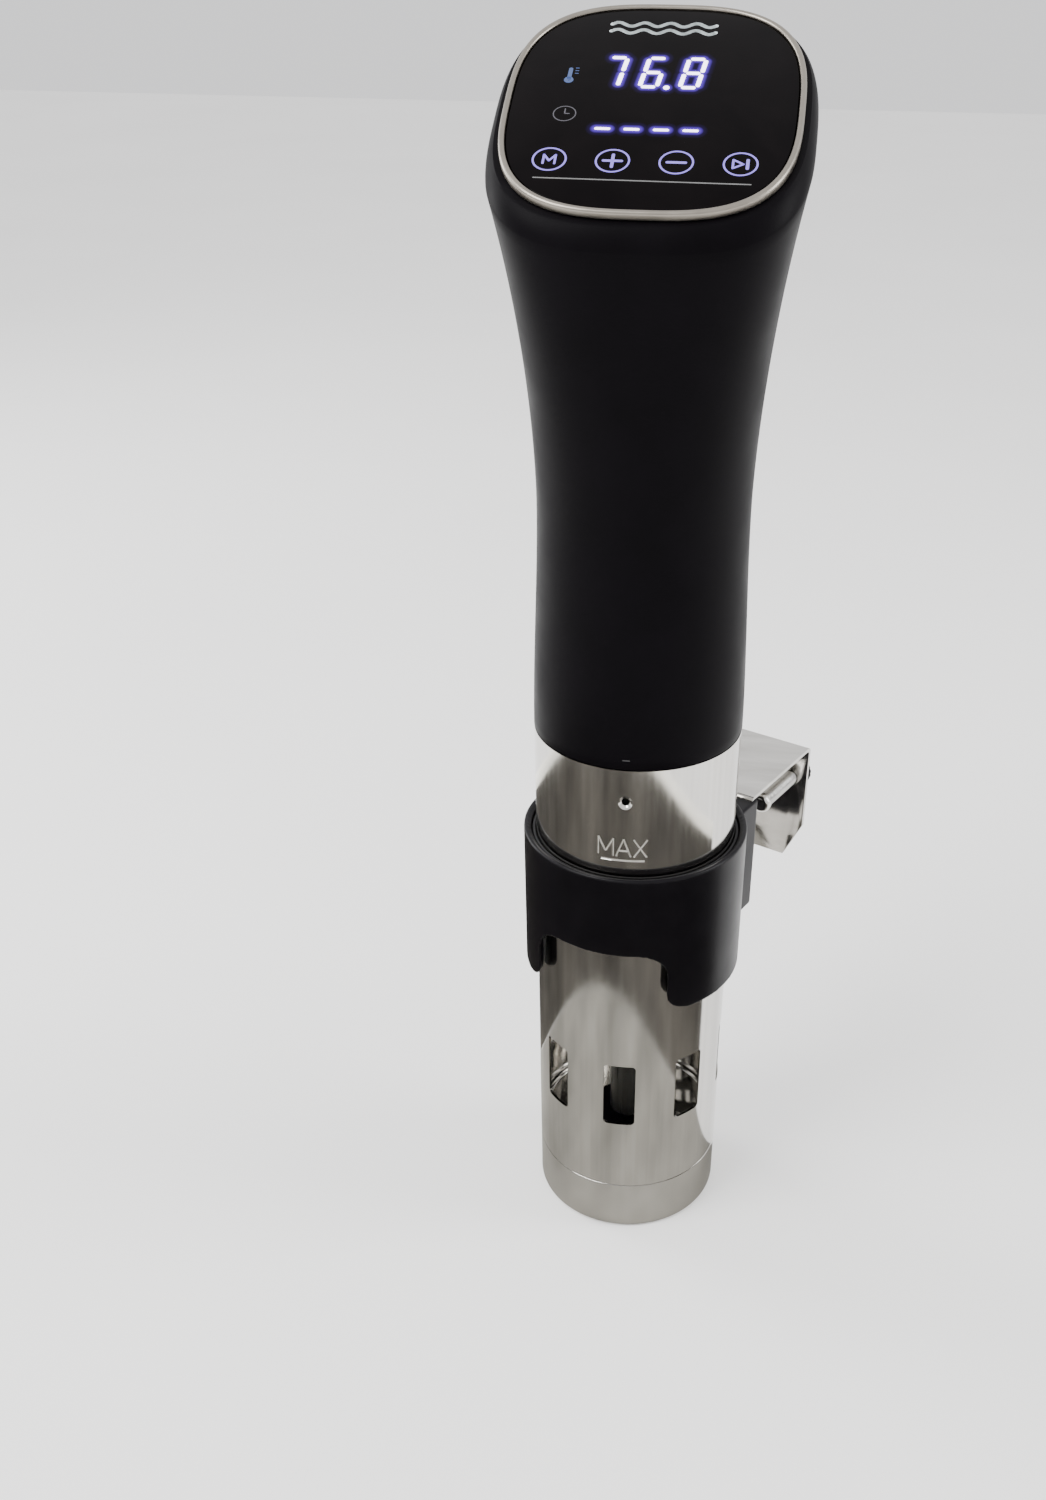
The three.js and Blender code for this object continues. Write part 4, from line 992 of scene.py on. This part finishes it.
def build_heater():
    for side, name in ((-1, "left"), (1, "right")):
        x = side * HEATER_SPREAD
        path = [(x, -HEATER_BEND, HEATER_TOP - HEATER_LEG * k / 12) for k in range(12)]
        for k in range(25):
            angle = math.pi * (1 + k / 24)
            path.append((x, HEATER_BEND * math.cos(angle), HEATER_FLOOR + HEATER_BEND * math.sin(angle)))
        path += [(x, HEATER_BEND, HEATER_TOP - HEATER_LEG * k / 12) for k in range(11, -1, -1)]
        finish(sweep(f"heater_element_{name}", path, HEATER_RADIUS, 32), "head", "brushed_steel",
               f"heater_tube_{name}", look=finishes["heater"])


finishes["heater"] = surface("heater_steel", (0.4, 0.39, 0.37), 0.28, 1.0, spread=0.22, scale=240,
                             grain=1600, grain_depth=0.006)

# ------------------------------------------------------------ stage


FLOOR_REACH = 4000
CARD_X, CARD_Y, CARD_RADIUS, CARD_TOP = -26.0, -55.0, 119.0, 135.0
CARD_EDGE, CARD_GAP = 3.0, 80.0          # edge's radius, and the degrees left open towards the clamp


def build_stage():
    far = FLOOR_REACH
    floor = piece("floor", [(-far, -far, 0), (far, -far, 0), (far, far, 0), (-far, far, 0)], [(0, 1, 2, 3)])
    look, nodes, links, shader = material("pale_floor")
    shader.inputs["Specular IOR Level"].default_value = 0.2
    shade = noise(nodes, links, 3)
    stops = [(0.3, (0.9, 0.895, 0.885)), (0.7, (0.93, 0.925, 0.915))]
    links.new(ramp(nodes, links, shade, stops), shader.inputs["Base Color"])
    links.new(ramp(nodes, links, shade, [(0.3, 0.55), (0.7, 0.65)]), shader.inputs["Roughness"])
    floor.data.materials.append(look)

    # dark round cards out of view, with a bright edge, that the steel reflects as it does a pot's inside
    first = -270 - CLAMP_TURN + CARD_GAP / 2
    turns = [math.radians(first + (360 - CARD_GAP) * k / 80) for k in range(81)]
    curve = [(CARD_X + CARD_RADIUS * math.cos(a), CARD_Y + CARD_RADIUS * math.sin(a)) for a in turns]
    levels = [[(x, y, z) for x, y in curve] for z in (2, 40, 90, CARD_TOP)]
    wall = piece("card_wall", *grid(levels, False, False))
    base = prism("card_base", curve, 1.0, 1.6)
    edge = sweep("card_edge", [(x, y, CARD_TOP + CARD_EDGE) for x, y in curve], CARD_EDGE, 12)
    tones = (
        (wall, (0.045, 0.042, 0.038), (0.12, 0.112, 0.1), 0.0),
        (base, (0.17, 0.165, 0.15), (0.34, 0.33, 0.3), 0.0),
        (edge, (0.9, 0.88, 0.8), (0.95, 0.94, 0.88), 0.9),
    )
    for card, dark, pale, glow in tones:
        look, nodes, links, shader = material(card.name)
        shader.inputs["Roughness"].default_value = 0.9
        shader.inputs["Specular IOR Level"].default_value = 0.1
        shade = ramp(nodes, links, noise(nodes, links, 14, detail=3.0), [(0.3, dark), (0.7, pale)])
        links.new(shade, shader.inputs["Base Color"])
        links.new(shade, shader.inputs["Emission Color"])
        shader.inputs["Emission Strength"].default_value = glow
        card.data.materials.append(look)
        card.visible_camera = False
        card.visible_diffuse = False
        card.visible_shadow = False

    def lamp(name, place, target, size, power, color=(1, 1, 1)):
        data = bpy.data.lights.new(name, "AREA")
        data.shape = "RECTANGLE"
        data.size, data.size_y = size
        data.energy = power
        data.color = color
        made = bpy.data.objects.new(name, data)
        made.location = place
        made.rotation_mode = "QUATERNION"
        made.rotation_quaternion = (Vector(place) - Vector(target)).to_track_quat("Z", "Y")
        SCENE.collection.objects.link(made)

    lamp("key", (-0.9, -0.7, 1.5), (0, 0, 0.2), (0.9, 0.9), 30)
    lamp("right_side", (1.3, 0.1, 0.8), (0, 0, 0.25), (0.5, 1.0), 15)
    lamp("left_side", (-1.2, 0.5, 0.7), (0, 0, 0.25), (0.5, 1.0), 12)

    world = bpy.data.worlds.new("studio")
    world.use_nodes = True
    nodes, links = world.node_tree.nodes, world.node_tree.links
    place = nodes.new("ShaderNodeTexCoord")
    split = nodes.new("ShaderNodeSeparateXYZ")
    links.new(place.outputs["Generated"], split.inputs["Vector"])
    sky = ramp(nodes, links, split.outputs["Z"], [(0.0, (0.75, 0.75, 0.76)), (0.6, (0.95, 0.95, 0.96))])
    links.new(sky, nodes["Background"].inputs["Color"])
    nodes["Background"].inputs["Strength"].default_value = 1.5
    SCENE.world = world

    data = bpy.data.cameras.new("camera")
    data.lens = 34.856
    data.sensor_width = 36
    data.shift_x, data.shift_y = -0.05, 0.10
    data.clip_start, data.clip_end = 0.01, 50
    camera = bpy.data.objects.new("camera", data)
    camera.location = (0.04212, -0.42542, 0.41787)
    camera.rotation_euler = [math.radians(angle) for angle in (55.925, -0.467, 7.658)]
    SCENE.collection.objects.link(camera)
    SCENE.camera = camera


build_stage()
build_head()
build_panel()
build_sleeve()
build_collar()
build_bracket()
build_screws()
build_heater()

# the inner pieces keep their CAD shapes and get their slots' materials
for part in frame["record"]["subparts"]:
    node = frame["nodes"][part["node"]]
    if not node.hide_render:
        node.data.materials.clear()
        node.data.materials.append(finishes[part["material_slot"]])
